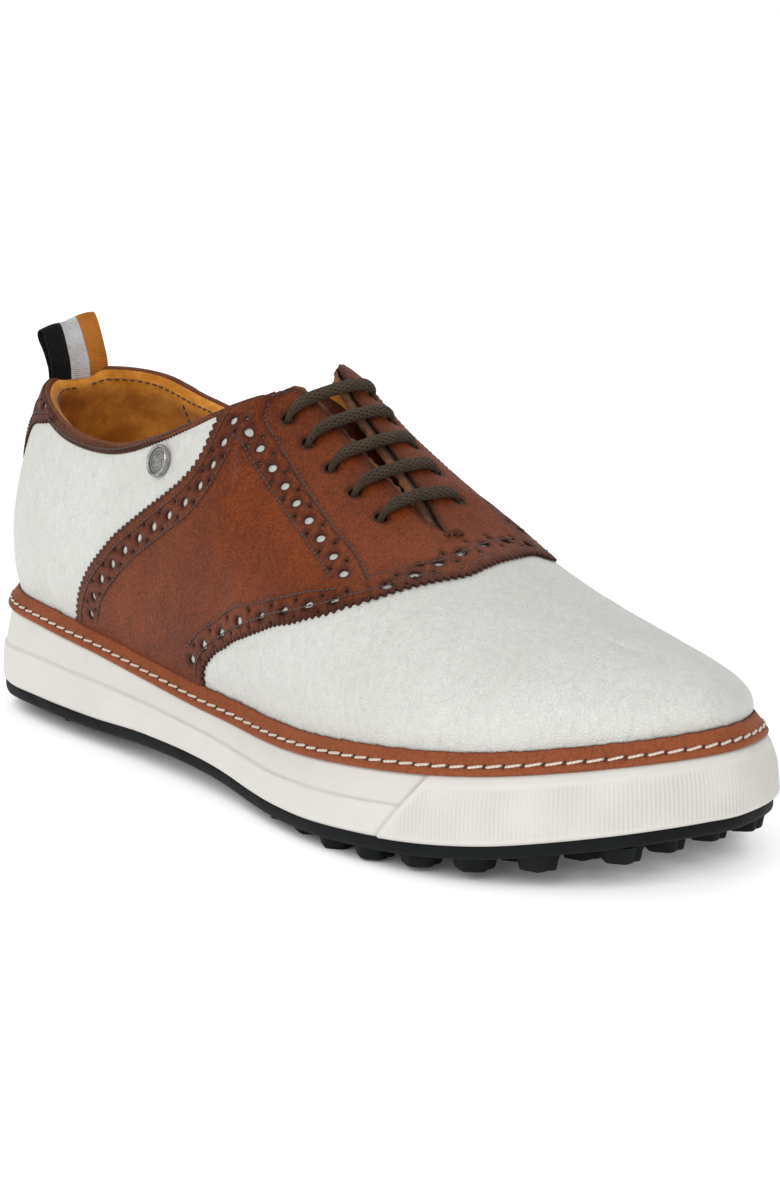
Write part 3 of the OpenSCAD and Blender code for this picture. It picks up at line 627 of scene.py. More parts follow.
def suede_mat(name, light, dark, nap=1.0):
    light, dark = srgb(*light), srgb(*dark)
    m = Mat(name)
    brushed = m.streaks(m.warp(0.006, 45), (1.0, 0.55, 1.0), 75.0, 5.0, 0.68)
    fuzz = m.noise(3200, 3, 0.6)
    c = m.mix(m.span(brushed, 0.36, 0.66), dark, light)
    c = m.mix(m.span(fuzz, 0.3, 0.8, 0.0, 0.35), c, dark)
    c = m.mix(m.span(m.attr("edge"), 0.0, 0.8, 0.6, 0.0), c, dark)
    nrm = m.bump(m.add(fuzz, m.mul(brushed, 1.4)), 0.00018, 0.8 * nap)
    return m.end(c, 0.92, nrm, Sheen_Weight=0.12, Sheen_Roughness=0.5, Specular_IOR_Level=0.12)


def rubber_mat(name, light, dark, dirt_and_shade, rough=0.5, fine=1.0, spec=0.45):
    dirt_and_shade = srgb(*dirt_and_shade)
    m = Mat(name)
    big = m.noise(34, 4, 0.6)
    c = m.mix(m.span(big, 0.35, 0.75), srgb(*light), srgb(*dark))
    specks = m.noise(900, 4, 0.7)
    c = m.mix(m.span(specks, 0.62, 0.8, 0.0, 0.35), c, dirt_and_shade)
    # painted shade: where a mesh sets its 'cav' attribute, the dirt colour darkens its hollows and steps;
    # the specks above are real dirt
    c = m.mix(m.mul(m.attr("cav"), 0.5), c, dirt_and_shade)
    lay = m.streaks(m.co, (1.0, 1.0, 14.0), 90.0, 4.0, 0.6)
    h = m.add(m.mul(m.noise(2400, 3), 0.7), m.mul(lay, 0.9))
    nrm = m.bump(h, 0.00007 * fine, 0.8)
    r = m.add(rough, m.mul(m.add(big, specks), 0.09))
    return m.end(c, r, nrm, Specular_IOR_Level=spec)


def plain_mat(name, light, dark, scale=120.0, rough=0.7, depth=0.0001, metal=0.0, sheen=0.0):
    m = Mat(name)
    a, b = m.noise(scale, 5, 0.65), m.noise(scale * 9, 3, 0.6)
    c = m.mix(m.span(m.add(m.mul(a, 0.7), m.mul(b, 0.3)), 0.36, 0.66), srgb(*dark), srgb(*light))
    nrm = m.bump(m.add(a, m.mul(b, 0.6)), depth, 0.8)
    return m.end(c, m.add(rough, m.mul(a, 0.12)), nrm, Metallic=metal, Sheen_Weight=sheen)


def thread_mat(name, light, dark, pitch):
    """two-ply twist along the attribute 's', millimetres, and 'a', turns round the thread"""
    light, dark = srgb(*light), srgb(*dark)
    m = Mat(name)
    twist = m.math("SINE", m.add(m.mul(m.attr("s"), TURN / pitch), m.mul(m.attr("a"), TURN * 2)))
    # painted shade: the colour darkens in the grooves between the plies, where the bump dips
    c = m.mix(m.span(twist, -0.9, 0.5), dark, light)
    c = m.mix(m.span(m.noise(1800, 2), 0.5, 0.8, 0.0, 0.4), c, dark)
    nrm = m.bump(m.add(twist, m.mul(m.noise(6000, 2), 0.6)), 0.00008, 0.7)
    return m.end(c, 0.62, nrm, Sheen_Weight=0.2, Sheen_Roughness=0.4)


BROWN = leather_mat("saddle_leather", (142, 66, 21), (102, 42, 15), (60, 25, 12), (58, 29, 20))
# a darker copy of the saddle leather: painted shade for the gimp's teeth under the pinked edge
BROWN_SHADE = leather_mat("saddle_leather_shade", (112, 54, 30), (88, 42, 26), (58, 30, 22), (46, 26, 22))
TONGUE = leather_mat("tongue_leather", (112, 46, 24), (84, 32, 18), (56, 24, 18), (40, 20, 16))
COLLAR = leather_mat("collar_leather", (134, 76, 42), (108, 58, 32), (74, 39, 24), (54, 30, 22))
WELT = leather_mat("welt_leather", (160, 88, 54), (140, 73, 43), (108, 56, 34), (80, 46, 32), 700, 0.5,
                   0.1, 0.00008, 0.7)
KEEPER = leather_mat("rolled_leather_edge", (116, 64, 38), (90, 48, 29), (58, 31, 21), (46, 26, 20), 1200,
                     0.5, 0.1)
WHITE = tumbled_mat("white_leather", (221, 221, 216), (213, 212, 206))
SUEDE = suede_mat("tan_suede", (234, 160, 66), (178, 108, 30))
TAN = suede_mat("tan_lining_edge", (150, 98, 60), (66, 36, 22), 1.8)
BED = suede_mat("footbed_suede", (176, 120, 66), (132, 84, 44))
MID = rubber_mat("white_rubber", (217, 214, 208), (210, 208, 201), (165, 161, 150))
SOLE = rubber_mat("black_rubber", (20, 23, 24), (13, 15, 16), (50, 52, 50), 0.6, 2.0, 0.14)
THREAD_D = thread_mat("dark_thread", (92, 66, 58), (44, 28, 24), 0.8)
THREAD_W = thread_mat("pale_thread", (236, 226, 212), (202, 186, 166), 1.1)

# ---- pattern lines, rows [x, y]
BACK = [[3.5, 0], [3.6, .13], [3.71, .235], [3.87, .336], [4.09, .434], [4.33, .522], [4.62, .59],
        [4.96, .645], [5.33, .686], [5.69, .715], [5.98, .757], [6.14, .81], [6.2, .873], [6.23, .93],
        [6.27, 1]]
FRONT = [[6.2, 0], [6.27, .06], [6.72, .135], [7.3, .168], [8.3, .212], [9.02, .264], [9.72, .318],
         [10.27, .358], [10.72, .404], [11.1, .448], [11.43, .5], [11.72, .549], [11.95, .602],
         [12.14, .656], [12.32, .715], [12.6, .83], [12.74, .91], [12.78, 1]]
FRONT_IN = FRONT[:12] + [[11.86, .58], [12.11, .686], [12.42, .807], [12.62, .908], [12.78, 1]]
SPLIT = 11                      # the wing's front edge ends at this row, the facing's starts
SEAM = [[7.15, 1], [7.4, .905], [7.68, .835], [8.05, .792], [8.65, .77], [9.65, .74], [10.65, .705],
        [11.4, .665], [11.68, .61], [11.78, .562]]
# centres of the big punched holes
BACK_HOLES = [[3.82, .092], [3.92, .202], [4.11, .312], [4.33, .4], [4.56, .472], [4.83, .527],
              [5.14, .569], [5.48, .601], [5.87, .627], [6.24, .664], [6.52, .718], [6.68, .79]]
FRONT_HOLES = [[6.02, .084], [6.45, .15], [7.2, .198], [8.25, .246], [9.2, .305], [10.0, .366],
               [10.67, .43], [11.22, .492], [11.66, .563], [12.02, .65], [12.27, .757], [12.4, .866],
               [12.45, .968]]
FRONT_HOLES_IN = FRONT_HOLES[:9] + [[11.86, .668], [12.07, .779], [12.31, .9]]
SEAM_HOLES = [[6.73, .879], [7.52, .778], [8.2, .729], [8.68, .715], [9.15, .706], [9.63, .694],
              [10.1, .679], [10.54, .66], [10.93, .637], [11.25, .605]]
EYES_OUT = [[8.38, .875], [9.0, .875], [9.78, .875], [10.52, .875], [11.22, .875]]
EYES_IN = [[8.55, .872], [9.17, .87], [9.85, .87], [10.56, .864], [11.25, .857]]
EYES = [(i, side) for i in range(5) for side in (1, -1)]


def eye(i, side):
    return tuple(EYES_OUT[i]) if side > 0 else (EYES_IN[i][0], 2 - EYES_IN[i][1])


def pinked(L, side, pitch=2.3, deep=1.25, a=0.0, b=None):
    """saw-tooth edge along a line; the teeth point to the line's left for the outer half"""
    b = L.len if b is None else b
    n = max(2, int(round((b - a) / pitch)))
    d = np.linspace(a, b, n * 4 + 1)
    w = np.tile([0.0, 0.62, 1.0, 0.62], n + 1)[:n * 4 + 1] * deep
    return L.at(d) + L.left(d) * (w * side)[:, None]


def plain(L, step, a=0.0):
    return L.at(np.linspace(a, L.len, max(3, int((L.len - a) / step))))


def disc(c, r, n=18, step=None, wide=1.0):
    """a round hole of radius r mm at pattern place c, or one drawn out `wide` times along a step"""
    c = np.asarray(c, float)
    N = skn(c[0], c[1])
    a, b = across(N, np.cross(N, [0, 0, 1.0]) if step is None else sk(*(c + step)) - sk(*(c - step)))
    t = circle(n)
    W = r * (wide * np.cos(t)[:, None] * a + np.sin(t)[:, None] * b)
    cc = np.broadcast_to(c, (n, 2))
    return cc + uvvec(cc[:, 0], cc[:, 1], W)


HOLE_GAP = 6.8                  # mm between holes that stay round; wider gaps draw them out


def brogue(rows, side, a=0, b=None, r=1.3, small=0.42, gap=2.35):
    """big punched holes at the rows' places, small ones to both sides of every gap"""
    R = half(rows, side)
    L = Line(rows, side, 900)
    d = [float(L.s[np.argmin(np.linalg.norm((L.uv - p) * PATTERN, axis=1))]) for p in R]
    out = []
    for i in range(a, len(d) if b is None else b):
        room = min(d[i + 1] - d[i] if i + 1 < len(d) else 99, d[i] - d[i - 1] if i else 99)
        out.append(disc(R[i], r, 20, (L.at(d[i] + .3) - L.at(d[i] - .3)) / 2,
                        min(1.3, max(1.0, room / HOLE_GAP))))
        if i + 1 < len(d):
            m = np.array([(d[i] + d[i + 1]) / 2])
            c, l = L.at(m)[0], L.left(m)[0]
            out += [disc(c + l * gap, small, 8), disc(c - l * gap, small, 8)]
    return out


# ---- threads and cords
def tube(P, r, n=10, weave=None):
    """closed tube along points P, r a number or one per point: points, faces, attributes"""
    P = np.asarray(P, float)
    T = unit(np.gradient(P, axis=0))
    s = run(P)
    A = np.empty_like(P)
    a = np.cross(T[0], [0.3, 0.2, 0.9])
    for i in range(len(P)):
        a = a - T[i] * (a @ T[i])
        a /= np.linalg.norm(a)
        A[i] = a
    B = np.cross(T, A)
    t = circle(n)
    R = np.broadcast_to(np.asarray(r, float), (len(P),))[:, None] * np.ones(n)
    if weave is not None:
        R = R + weave(s[:, None], t[None, :])
    V = P[:, None] + R[..., None] * (np.cos(t)[None, :, None] * A[:, None]
                                     + np.sin(t)[None, :, None] * B[:, None])
    m = len(P)
    i, j = np.meshgrid(np.arange(m - 1), np.arange(n), indexing="ij")
    k = (j + 1) % n
    q = np.stack([i * n + j, i * n + k, (i + 1) * n + k, (i + 1) * n + j], -1).reshape(-1, 4)
    c = np.arange(n)
    F = [q, np.stack([np.full(n, m * n), (c + 1) % n, c], -1),
         np.stack([np.full(n, m * n + 1), (m - 1) * n + c, (m - 1) * n + (c + 1) % n], -1)]
    return (np.concatenate([V.reshape(-1, 3), P[:1], P[-1:]]), F,
            {"s": np.r_[np.repeat(s, n), 0, s[-1]], "a": np.r_[np.tile(t / TURN, m), 0, 0]})


def threads(name, paths, mat, rep=(), body="shoe"):
    """many short threads as one piece, each (points, radii, sides, its 's' at the start)"""
    Vs, Fs, S_, A_, k = [], [], [], [], 0
    for P, r, n, start in paths:
        V, F, at_ = tube(P, r, n)
        Vs.append(V)
        Fs.append([f + k for f in F])
        S_.append(at_["s"] + start)
        A_.append(at_["a"])
        k += len(V)
    return mesh(name, np.concatenate(Vs), [np.concatenate(f) for f in zip(*Fs)], mat, rep,
                {"s": np.concatenate(S_), "a": np.concatenate(A_)}, body=body)


def taper(t, r, full=1.04, power=4):
    """radii of a stitch that thins towards its ends, t from -1 to 1"""
    return r * np.sqrt(np.clip(full - t ** power, 0.1, 1))


def dip(t, power=1.2):
    """how a stitch's ends go down into their holes"""
    return np.clip(np.abs(t) * 3 - 1.9, 0, None) ** power


def stitch_paths(lines, pitch, length, r, lift):
    """stitches along lines on the skin, (line, from, to) each"""
    t = np.linspace(-1, 1, 9)
    for L, a, b in lines:
        n = max(1, int(round((b - a) / pitch)))
        for c in a + (np.arange(n) + 0.5) * (b - a) / n:
            uv = L.at(c + t * length / 2)
            yield off(uv[:, 0], uv[:, 1], lift - r * dip(t)), taper(t, r), 7, c


LOOSE_STITCH = 1.9              # mm, on the lining and the tongue


def sewn(P, N, centres, r, lift, drop, n, sides):
    """stitches of a row along any points P with normals N; drop(t) lets their ends down"""
    s = run(P)
    t = np.linspace(-1, 1, n)
    for c in centres:
        q = c + t * LOOSE_STITCH / 2
        yield along(q, s, P) + along(q, s, N) * (lift - drop(t))[:, None], taper(t, r), sides, 0


def cord(name, P, r, n, mat, slot, rep=(), weave=None, **attrs):
    """one tube as a piece; attrs are the same all over it"""
    V, F, at_ = tube(P, r, n, weave)
    return mesh(name, V, F, mat, rep, {**at_, **{k: np.full(len(V), v) for k, v in attrs.items()}})


# ---- white leather
WHITE_THICK = 1.3


def vtop(u):
    """the white leather stops short of the lacing, under the facing"""
    return 1 - 0.17 * ramp(u, 6.7, 7.9)


# where the quarters end and the vamp begins, as [x, y]
QF = Line([[5.2, 0], [6.6, .2], [9.2, .4], [10.6, .55], [11.5, .75], [12.15, 1]])


def qf(v):
    return np.interp(np.clip(v, 0, 1), QF.uv[:, 1], QF.uv[:, 0])


def quarter(side):
    n, m = 230, 84
    t, w = np.meshgrid(np.linspace(0, 1, n), np.r_[-0.05, np.linspace(-0.015, 1, m - 1)], indexing="ij")
    v = w.copy()
    for _ in range(3):
        u = 0.02 + (qf(v) - 0.07) * t
        v = np.where(w > 0, w * vtop(u), w)
    x, y = sided(u, v, side)
    # the back seam and the top line are rolled a little
    r = -0.45 * np.exp(-(u * 20 / 1.0) ** 2) - 0.5 * np.exp(-((1 - v) / 0.012) ** 2)
    V, F = shell(off(x, y, r), off(x, y, r * 0 - WHITE_THICK))
    e = np.minimum(u * 20, 9)
    mesh("white_quarter_" + tag(side), V, F, WHITE, cad("quarter", side),
         {"edge": [e, e]}, sharp=50)


for side in (1, -1):
    quarter(side)


def vamp():
    n, m = 190, 75
    t = np.linspace(0, 1, n)[:, None]
    w = np.r_[-0.05, np.linspace(-0.015, 1, m)]
    v = np.r_[w, 2 - w[-2::-1]][None, :] + 0 * t
    q = qf(flip(v))
    u = np.minimum(q + (16 - q) * t ** 0.9, 15.999)
    A, B = off(u, v, 0.0), off(u, v, -WHITE_THICK)
    # the last row is the toe's middle line, shared by both halves: sew the halves together there
    for X in (A, B):
        X[-1] = (X[-1] + X[-1, ::-1]) / 2
    N = A.shape[1]
    K = n * N
    V = np.concatenate([A.reshape(-1, 3), B.reshape(-1, 3)])
    last = (n - 1) * N
    same = np.arange(len(V))
    for o in (last, K + last):
        j = np.arange(N // 2 + 1, N)
        same[o + j] = o + N - 1 - j
    rims = [np.arange(N), np.arange(n) * N, np.arange(n) * N + N - 1]
    W = [np.stack([r[:-1], r[1:], r[1:] + K, r[:-1] + K], -1) for r in rims]
    F = [grid_faces(n, N), grid_faces(n, N, K)[:, ::-1], W[0][:, ::-1], W[1], W[2][:, ::-1]]
    F = [same[f] for f in F]
    used = np.unique(np.concatenate([f.ravel() for f in F]))
    F = [np.searchsorted(used, f) for f in F]
    F = [f[(f[:, 0] != f[:, 2]) & (f[:, 1] != f[:, 3])] for f in F]
    mesh("white_vamp", V[used], F, WHITE, ("vamp",), {"edge": np.full(len(used), 9.0)})


vamp()

# ---- brown saddle
SADDLE = 1.15                   # how far its outer face stands off the white leather
thread_lines = []               # (line, from, to) of every sewn row on the saddle


def sew(lines):
    thread_lines.extend((l, 0.0, l.len) for l in lines)


def wing(side):
    back, front, seam = Line(BACK, side, 900), Line(FRONT[:SPLIT + 1], side, 900), Line(SEAM, side, 600)
    # up the pinked back edge, along the top, under the facing, down the front edge, behind the welt
    top = Line([[6.27, 1], [7.2, 1]], side, 40, False)
    tuck = seam.beside(1.6 * side, 0.3, seam.len - 0.5)
    foot = Line([[6.2, -.03], [3.5, -.03]], side, 60, False)
    outer = np.concatenate([pinked(back, side, b=back.len - 0.4), plain(top, 1.2)[1:-1],
                            tuck.at(np.linspace(0, tuck.len, 50)), pinked(front, -side)[::-1],
                            plain(foot, 1.2)])
    holes = brogue(BACK_HOLES, side) + brogue(FRONT_HOLES, side, 0, 8) + brogue(SEAM_HOLES, side)
    rowb, rowf, rowd = (Line(r, side, 900) for r in (BACK_HOLES, FRONT_HOLES[:9], SEAM_HOLES))
    lines = [back.beside(-2.5 * side, 1.5, back.len - 0.8), rowb.beside(-3.9 * side, 0, rowb.len),
             front.beside(2.4 * side, 1.5, front.len), rowf.beside(3.9 * side, 1.0, rowf.len - 6.5),
             rowd.beside(-3.5 * side, 3.5, rowd.len - 0.5)]
    if side > 0:
        lines[0].below(.99)
    sew(lines)
    leather_piece("saddle_wing_" + tag(side), outer, holes, SADDLE, 0.02, BROWN,
                  cad("wing", side), lines, step=1.25)
    # second pinked layer peeping past the front edge; its darker copy of the saddle leather is painted shade
    # under the pinked edge
    o = pinked(front.beside(0.1 * side, 0, front.len, 900), -side, 1.6, 0.5)
    i = front.beside(2.5 * side, 0, front.len, 200)
    leather_piece("gimp_" + tag(side), np.concatenate([o, plain(i, 2.0)[::-1]]), [], 0.42, 0.02,
                  BROWN_SHADE, cad("gimp", side), step=1.3, margin=0.35)


for side in (1, -1):
    wing(side)


def swell(uv):
    """the facing puffs a little between the lace holes and pulls in at them"""
    P = sk(uv[:, 0], uv[:, 1])
    d = np.zeros(len(uv))
    for e in EYES:
        d -= 0.30 * np.exp(-(np.linalg.norm(P - sk(*eye(*e)), axis=1) / 3.0) ** 2)
    return d + 0.25


def facing():
    seam1, seam2 = Line(SEAM, 1, 600), Line(SEAM, -1, 600)
    front1, front2 = Line(FRONT[SPLIT:], 1, 400), Line(FRONT_IN[SPLIT:], -1, 400)
    slit = np.linspace(7.45, 11.95, 70)
    e = 0.0012 + 0.011 * np.exp(-((slit - 11.55) / 0.42) ** 2)
    corner = np.array([[7.15, .965], [7.2, .985], [7.3, .9955]])
    outer = np.concatenate([
        plain(seam1, 1.4, 1.0)[::-1], corner, np.stack([slit, 1 - e], -1), [[12.02, 1.0]],
        np.stack([slit, 1 + e], -1)[::-1], (corner * [1, -1] + [0, 2])[::-1], plain(seam2, 1.4, 1.0),
        pinked(front2, 1, a=0.3)[:-1], pinked(front1, -1, a=0.3)[::-1]])
    holes = brogue(FRONT_HOLES, 1, 9) + brogue(FRONT_HOLES_IN, -1, 9)
    holes += [disc([x, 1.034], .42, 8) for x in (12.27, 12.51)]
    holes += [disc(eye(*e), 1.75, 20) for e in EYES]
    lines = [l.beside(k * s, a, l.len - b) for k, a, b, both in (
        (2.3, 0, 0, (front1, front2)), (7.9, 2.0, 0, (front1, front2)), (1.3, 1.5, 7.0, (seam1, seam2)))
        for l, s in zip(both, (1, -1))]
    sew(lines)
    edge = [[7.3, .972], [8, .976], [10, .975], [11.9, .975]]
    tops = [Line(edge, s, 300, False) for s in (1, -1)]
    thread_lines.extend((l, 0.0, 9.0) for l in tops)
    leather_piece("facing", outer, holes, SADDLE, 0.3, BROWN, ("facing",), lines + tops,
                  step=1.25, shape=swell)


facing()


def slit_edge(side):
    """the slit's raw, rolled lining edge and the stay behind it"""
    u = np.linspace(7.5, 12.05, 260)
    p = np.stack([u * 30, u * 0, u * 0], -1)
    jag = 0.5 * soft(p + [0, 0, side], 21, 5) + 0.35 * soft(p, 22, 1.7)
    y = OUT[side < 0]
    base = sk(u, y)
    N = skn(u, y + u * 0)
    X = np.cross(unit(np.gradient(base, axis=0)), N) * -side
    # X must point into the slit
    if ((base[120] + X[120]) - sk(u[120], 2 - y)) @ X[120] > 0:
        X = -X
    shut = np.clip((u - (7.6 if side > 0 else 8.05)) / 0.35, 0, 1) * np.clip((12.08 - u) / 0.12, 0, 1) ** 0.6
    fat = (1.55 if side > 0 else 2.05) - 0.75 * ramp(u, 10.9, 12.05)
    rows = []
    for k, d in ((-3.0, -1.0), (0.0, -0.75), (0.5, -0.45), (0.95, -0.4), (1.3, -0.75), (1.45, -1.2),
                 (1.3, -1.75), (0.0, -1.9), (-3.0, -2.0)):
        w = (k * fat * shut if k > 0 else k + 0 * u) + (jag * 0.45 * shut if k > 0.5 else 0)
        rows.append(base + X * w[:, None] + N * (d + (0.12 if k > 0.5 else 0) * jag)[:, None])
    V, F = bar(np.stack(rows, 1))
    mesh("slit_edge_" + tag(side), V, F, TAN, (), {"edge": 4 * rnd.rand(V[..., 0].size)})


for side in (1, -1):
    slit_edge(side)


# ---- heel tab, collar, linings
def heel_tab():
    R = [[1.0, .6], [1.3, .68], [1.75, .85], [2.3, .93], [2.65, 1]]
    L1, L2 = Line(R, 1, 500), Line([[-a, b] for a, b in R], 1, 500)
    low = Line([[-1.0, .6], [1.0, .6]], 1, 80, False)
    top = Line([[-2.65, 1], [2.65, 1]], 1, 200, False)
    outer = np.concatenate([pinked(low, -1)[1:-1], pinked(L1, -1), plain(top, 1.2)[::-1][1:-1],
                            pinked(L2, 1)[::-1]])
    a, b = (L.beside(4.4 * s, 3.0, L.len - 2.0).below() for L, s in ((L1, 1), (L2, -1)))
    n = int(a.len / 6.2)
    holes = []
    for row in (a, b):
        holes += brogue(row.at(np.linspace(0.8, row.len - 1.6, n)), 1, 0, None, 1.15, 0.38, 1.9)
    lines = [L.beside(k * s, d, L.len).below() for k, d in ((2.0, 1.5), (6.8, 4.5))
             for L, s in ((L1, 1), (L2, -1))] + [low.beside(2.0, 2.0, low.len - 2.0)]
    sew(lines)
    leather_piece("heel_tab", outer, holes, 1.1, 0.02, BROWN, ("heel_tab",), lines,
                  step=1.2)


heel_tab()


def collar_strip(side):
    low = Line([[2.35, .94], [3.2, .938], [3.8, .948], [4.4, .958], [5.0, .972], [5.7, .981],
                [6.35, .988], [6.75, .992]], side, 600)
    top = Line([[2.3, 1], [6.8, 1]], side, 300, False)
    outer = np.concatenate([pinked(low, -side, 1.4, 0.6), plain(top, 1.2)[::-1]])
    l = low.beside(0.85 * side, 0.5, low.len - 20)
    sew([l])
    leather_piece("collar_strip_" + tag(side), outer, [], 0.7, 0.02, COLLAR,
                  cad("collar", side), [l], step=1.1, margin=0.3)


for side in (1, -1):
    collar_strip(side)


def lin_in(u):
    """depth of the linings' outer face behind the skin"""
    w = np.where(u % RINGS > 16, RINGS - u % RINGS, u % RINGS)
    return 2.05 + 1.15 * (1 - ramp(w, 3.3, 4.4)) + 0.9 * ramp(w, 12.4, 13.2)


def inner_face(u, v):
    """the same with the thin top edge and the padded collar"""
    w = 0.012 + 0.07 * ramp(np.abs(u), 3.1, 4.6)
    thin = np.minimum(lin_in(u), 0.9 + (lin_in(u) - 0.9) * ramp((1 - v) / w, 0, 1))
    return thin + 0.9 * np.exp(-((v - 0.93) / 0.05) ** 2) * (1 - ramp(np.abs(u), 5.5, 7))


def lining_wave(x, y, v):
    return 0.25 * soft(sk(x, y), 31, 17) * ramp(1 - v, 0.02, 0.2)


def top_line():
    """the collar strip's leather turned over a cord, its dark cut edge below on the inside"""
    u = np.linspace(-7.35, 7.35, 900)
    P, N = sk(u, 1.0 + 0 * u), skn(u, 1.0 + 0 * u)
    K = np.cross(N, unit(np.gradient(P, axis=0)))
    K[K[:, 2] < 0] *= -1
    rows = []
    for t in np.linspace(-0.5, 1.28, 19):
        x, z = -0.35 + 1.1 * math.cos(t * math.pi), 1.1 * math.sin(t * math.pi)
        rows.append(P + N * (x - 0.15) + K * (z - 0.55))
    rows.append(P + N * (-0.9) + K * (-1.2))
    V, F = bar(np.stack(rows, 1))
    mesh("top_line", V, F, COLLAR, (), {"edge": np.full(V[..., 0].size, 3.5)})


top_line()


def lining(name, lo, hi, rep, n, side=1):
    """soft inner face: full and rounded under the collar, hollow below; with no hi, up to the vamp"""
    front, m = hi is None, 60
    w = np.linspace(-0.02, 1, m)
    t = np.linspace(0, 1, n)[:, None]
    v = np.broadcast_to(w, (n, m)).copy()
    b = (qf(v) - 0.1) if front else hi + 0 * v
    if front:
        for _ in range(2):
            v = np.where(w > 0, w * (1 - 0.006 * ramp(lo + (b - lo) * t, 7.4, 7.8)), w)
    u = lo + (b - lo) * t
    x, y = sided(u, v, side)
    d = -inner_face(u, v)
    V, F = shell(off(x, y, d - (0.45 if front else 0.95) + lining_wave(x, y, v)), off(x, y, d))
    mesh(name, V, F, SUEDE, rep, {"edge": np.full(len(V), 3.0)}, sharp=60)


lining("heel_lining", -4.55, 4.55, ("heel_lining",), 180)
for side in (1, -1):
    lining("quarter_lining_" + tag(side), 4.5, None, cad("quarter_lining", side), 130,
           side=side)


def inside_stitches():
    """two rows where the heel lining overlaps the quarter linings, one under the top line"""
    for side in (1, -1):
        v1, u3 = np.linspace(0.25, 0.93, 400), np.linspace(0.2, 7.3, 900)
        for u, v in ((4.44 + 0 * v1, v1), (2.6 + 0 * v1, v1 + .045), (u3, 0.976 + 0 * u3)):
            y = v if side > 0 else 2 - v
            P = off(u, y, -inner_face(u, v) - 1.0 + lining_wave(u, y, v))
            yield from sewn(P, -skn(u, y), np.arange(1.5, run(P)[-1] - 1.5, 2.5), 0.26, 0.12,
                            lambda t: 0.3 * dip(t, 1), 7, 6)


threads("lining_stitches", inside_stitches(), THREAD_D)


def vamp_lining():
    """the same inner face round the toes"""
    n, m = 90, 60
    t = np.linspace(0, 1, n)[:, None]
    v = np.r_[np.linspace(0, 1, m), 2 - np.linspace(0, 1, m)[-2::-1]][None, :] + 0 * t
    q = qf(flip(v))
    u = q + (16 - q) * t
    x = np.minimum(u, 15.98)
    V, F = shell(off(x, v, -lin_in(u) - 0.9), off(x, v, -lin_in(u)))
    linen = plain_mat("textile_lining", (196, 184, 160), (160, 146, 120), 500, 0.85, 0.0001, 0.0, 0.2)
    mesh("vamp_lining", V, F, linen, ("vamp_lining",), {"edge": np.full(len(V), 3.0)})


vamp_lining()

PITCH, STITCH, THREAD_R = 1.75, 1.45, 0.25
threads("saddle_stitches", stitch_paths(thread_lines, PITCH, STITCH, THREAD_R, SADDLE), THREAD_D)


# ---- white cup sole
def around(fine, coarse=None, spans=()):
    """u values round the shoe, `fine` mm apart in the spans and `coarse` elsewhere; lengths and their u"""
    q = np.linspace(0, RINGS, 6401)
    L = np.linalg.norm(np.diff(oxy(q), axis=0), axis=1)
    m = (q[1:] + q[:-1]) / 2
    want = fine if coarse is None else np.where(
        np.any([(m > a) & (m < b) for a, b in spans], axis=0), fine, coarse)
    c = np.r_[0, np.cumsum(L / want)]
    n = int(c[-1])
    return np.interp(np.arange(n) * c[-1] / n, c, q), np.r_[0, np.cumsum(L)], q


def cap(uu):
    """triangles across a closed outline, zipped between its two halves"""
    n = len(uu)
    h = int(np.searchsorted(uu, 16.0))
    a = list(range(0, h))                # heel to toe, outer half
    b = [0] + list(range(n - 1, h - 1, -1))
    i = j = 0
    T = []
    while i < len(a) - 1 or j < len(b) - 1:
        ta = uu[a[i + 1]] if i < len(a) - 1 else 99
        tb = 32 - uu[b[j + 1]] if j < len(b) - 1 else 99
        if ta <= tb:
            if a[i] != b[j] and a[i + 1] != b[j]:
                T.append((a[i], b[j], a[i + 1]))
            i += 1
        else:
            if a[i] != b[j + 1]:
                T.append((a[i], b[j], b[j + 1]) if a[i] != b[j] else (a[i], b[j + 1], b[j + 1]))
            j += 1
    return np.array([t for t in T if len(set(t)) == 3])


def plug(G, u):
    """faces of a ring of profiles round the shoe, closed below and above: n places by m points"""
    n, m = G.shape[:2]
    T = cap(u)
    return G, [grid_faces(n, m, wrap=True), T * m, T[:, ::-1] * m + m - 1]


RIB_PITCH, RIB_DEEP = 1.15, 0.26    # upright ribs of the toe bumper
BUMPER = 12.17, 12.84               # u of its rear edge, at the foot and at the top of the wall
BUMPER_PROUD, BAND_DEEP = 0.85, 0.75


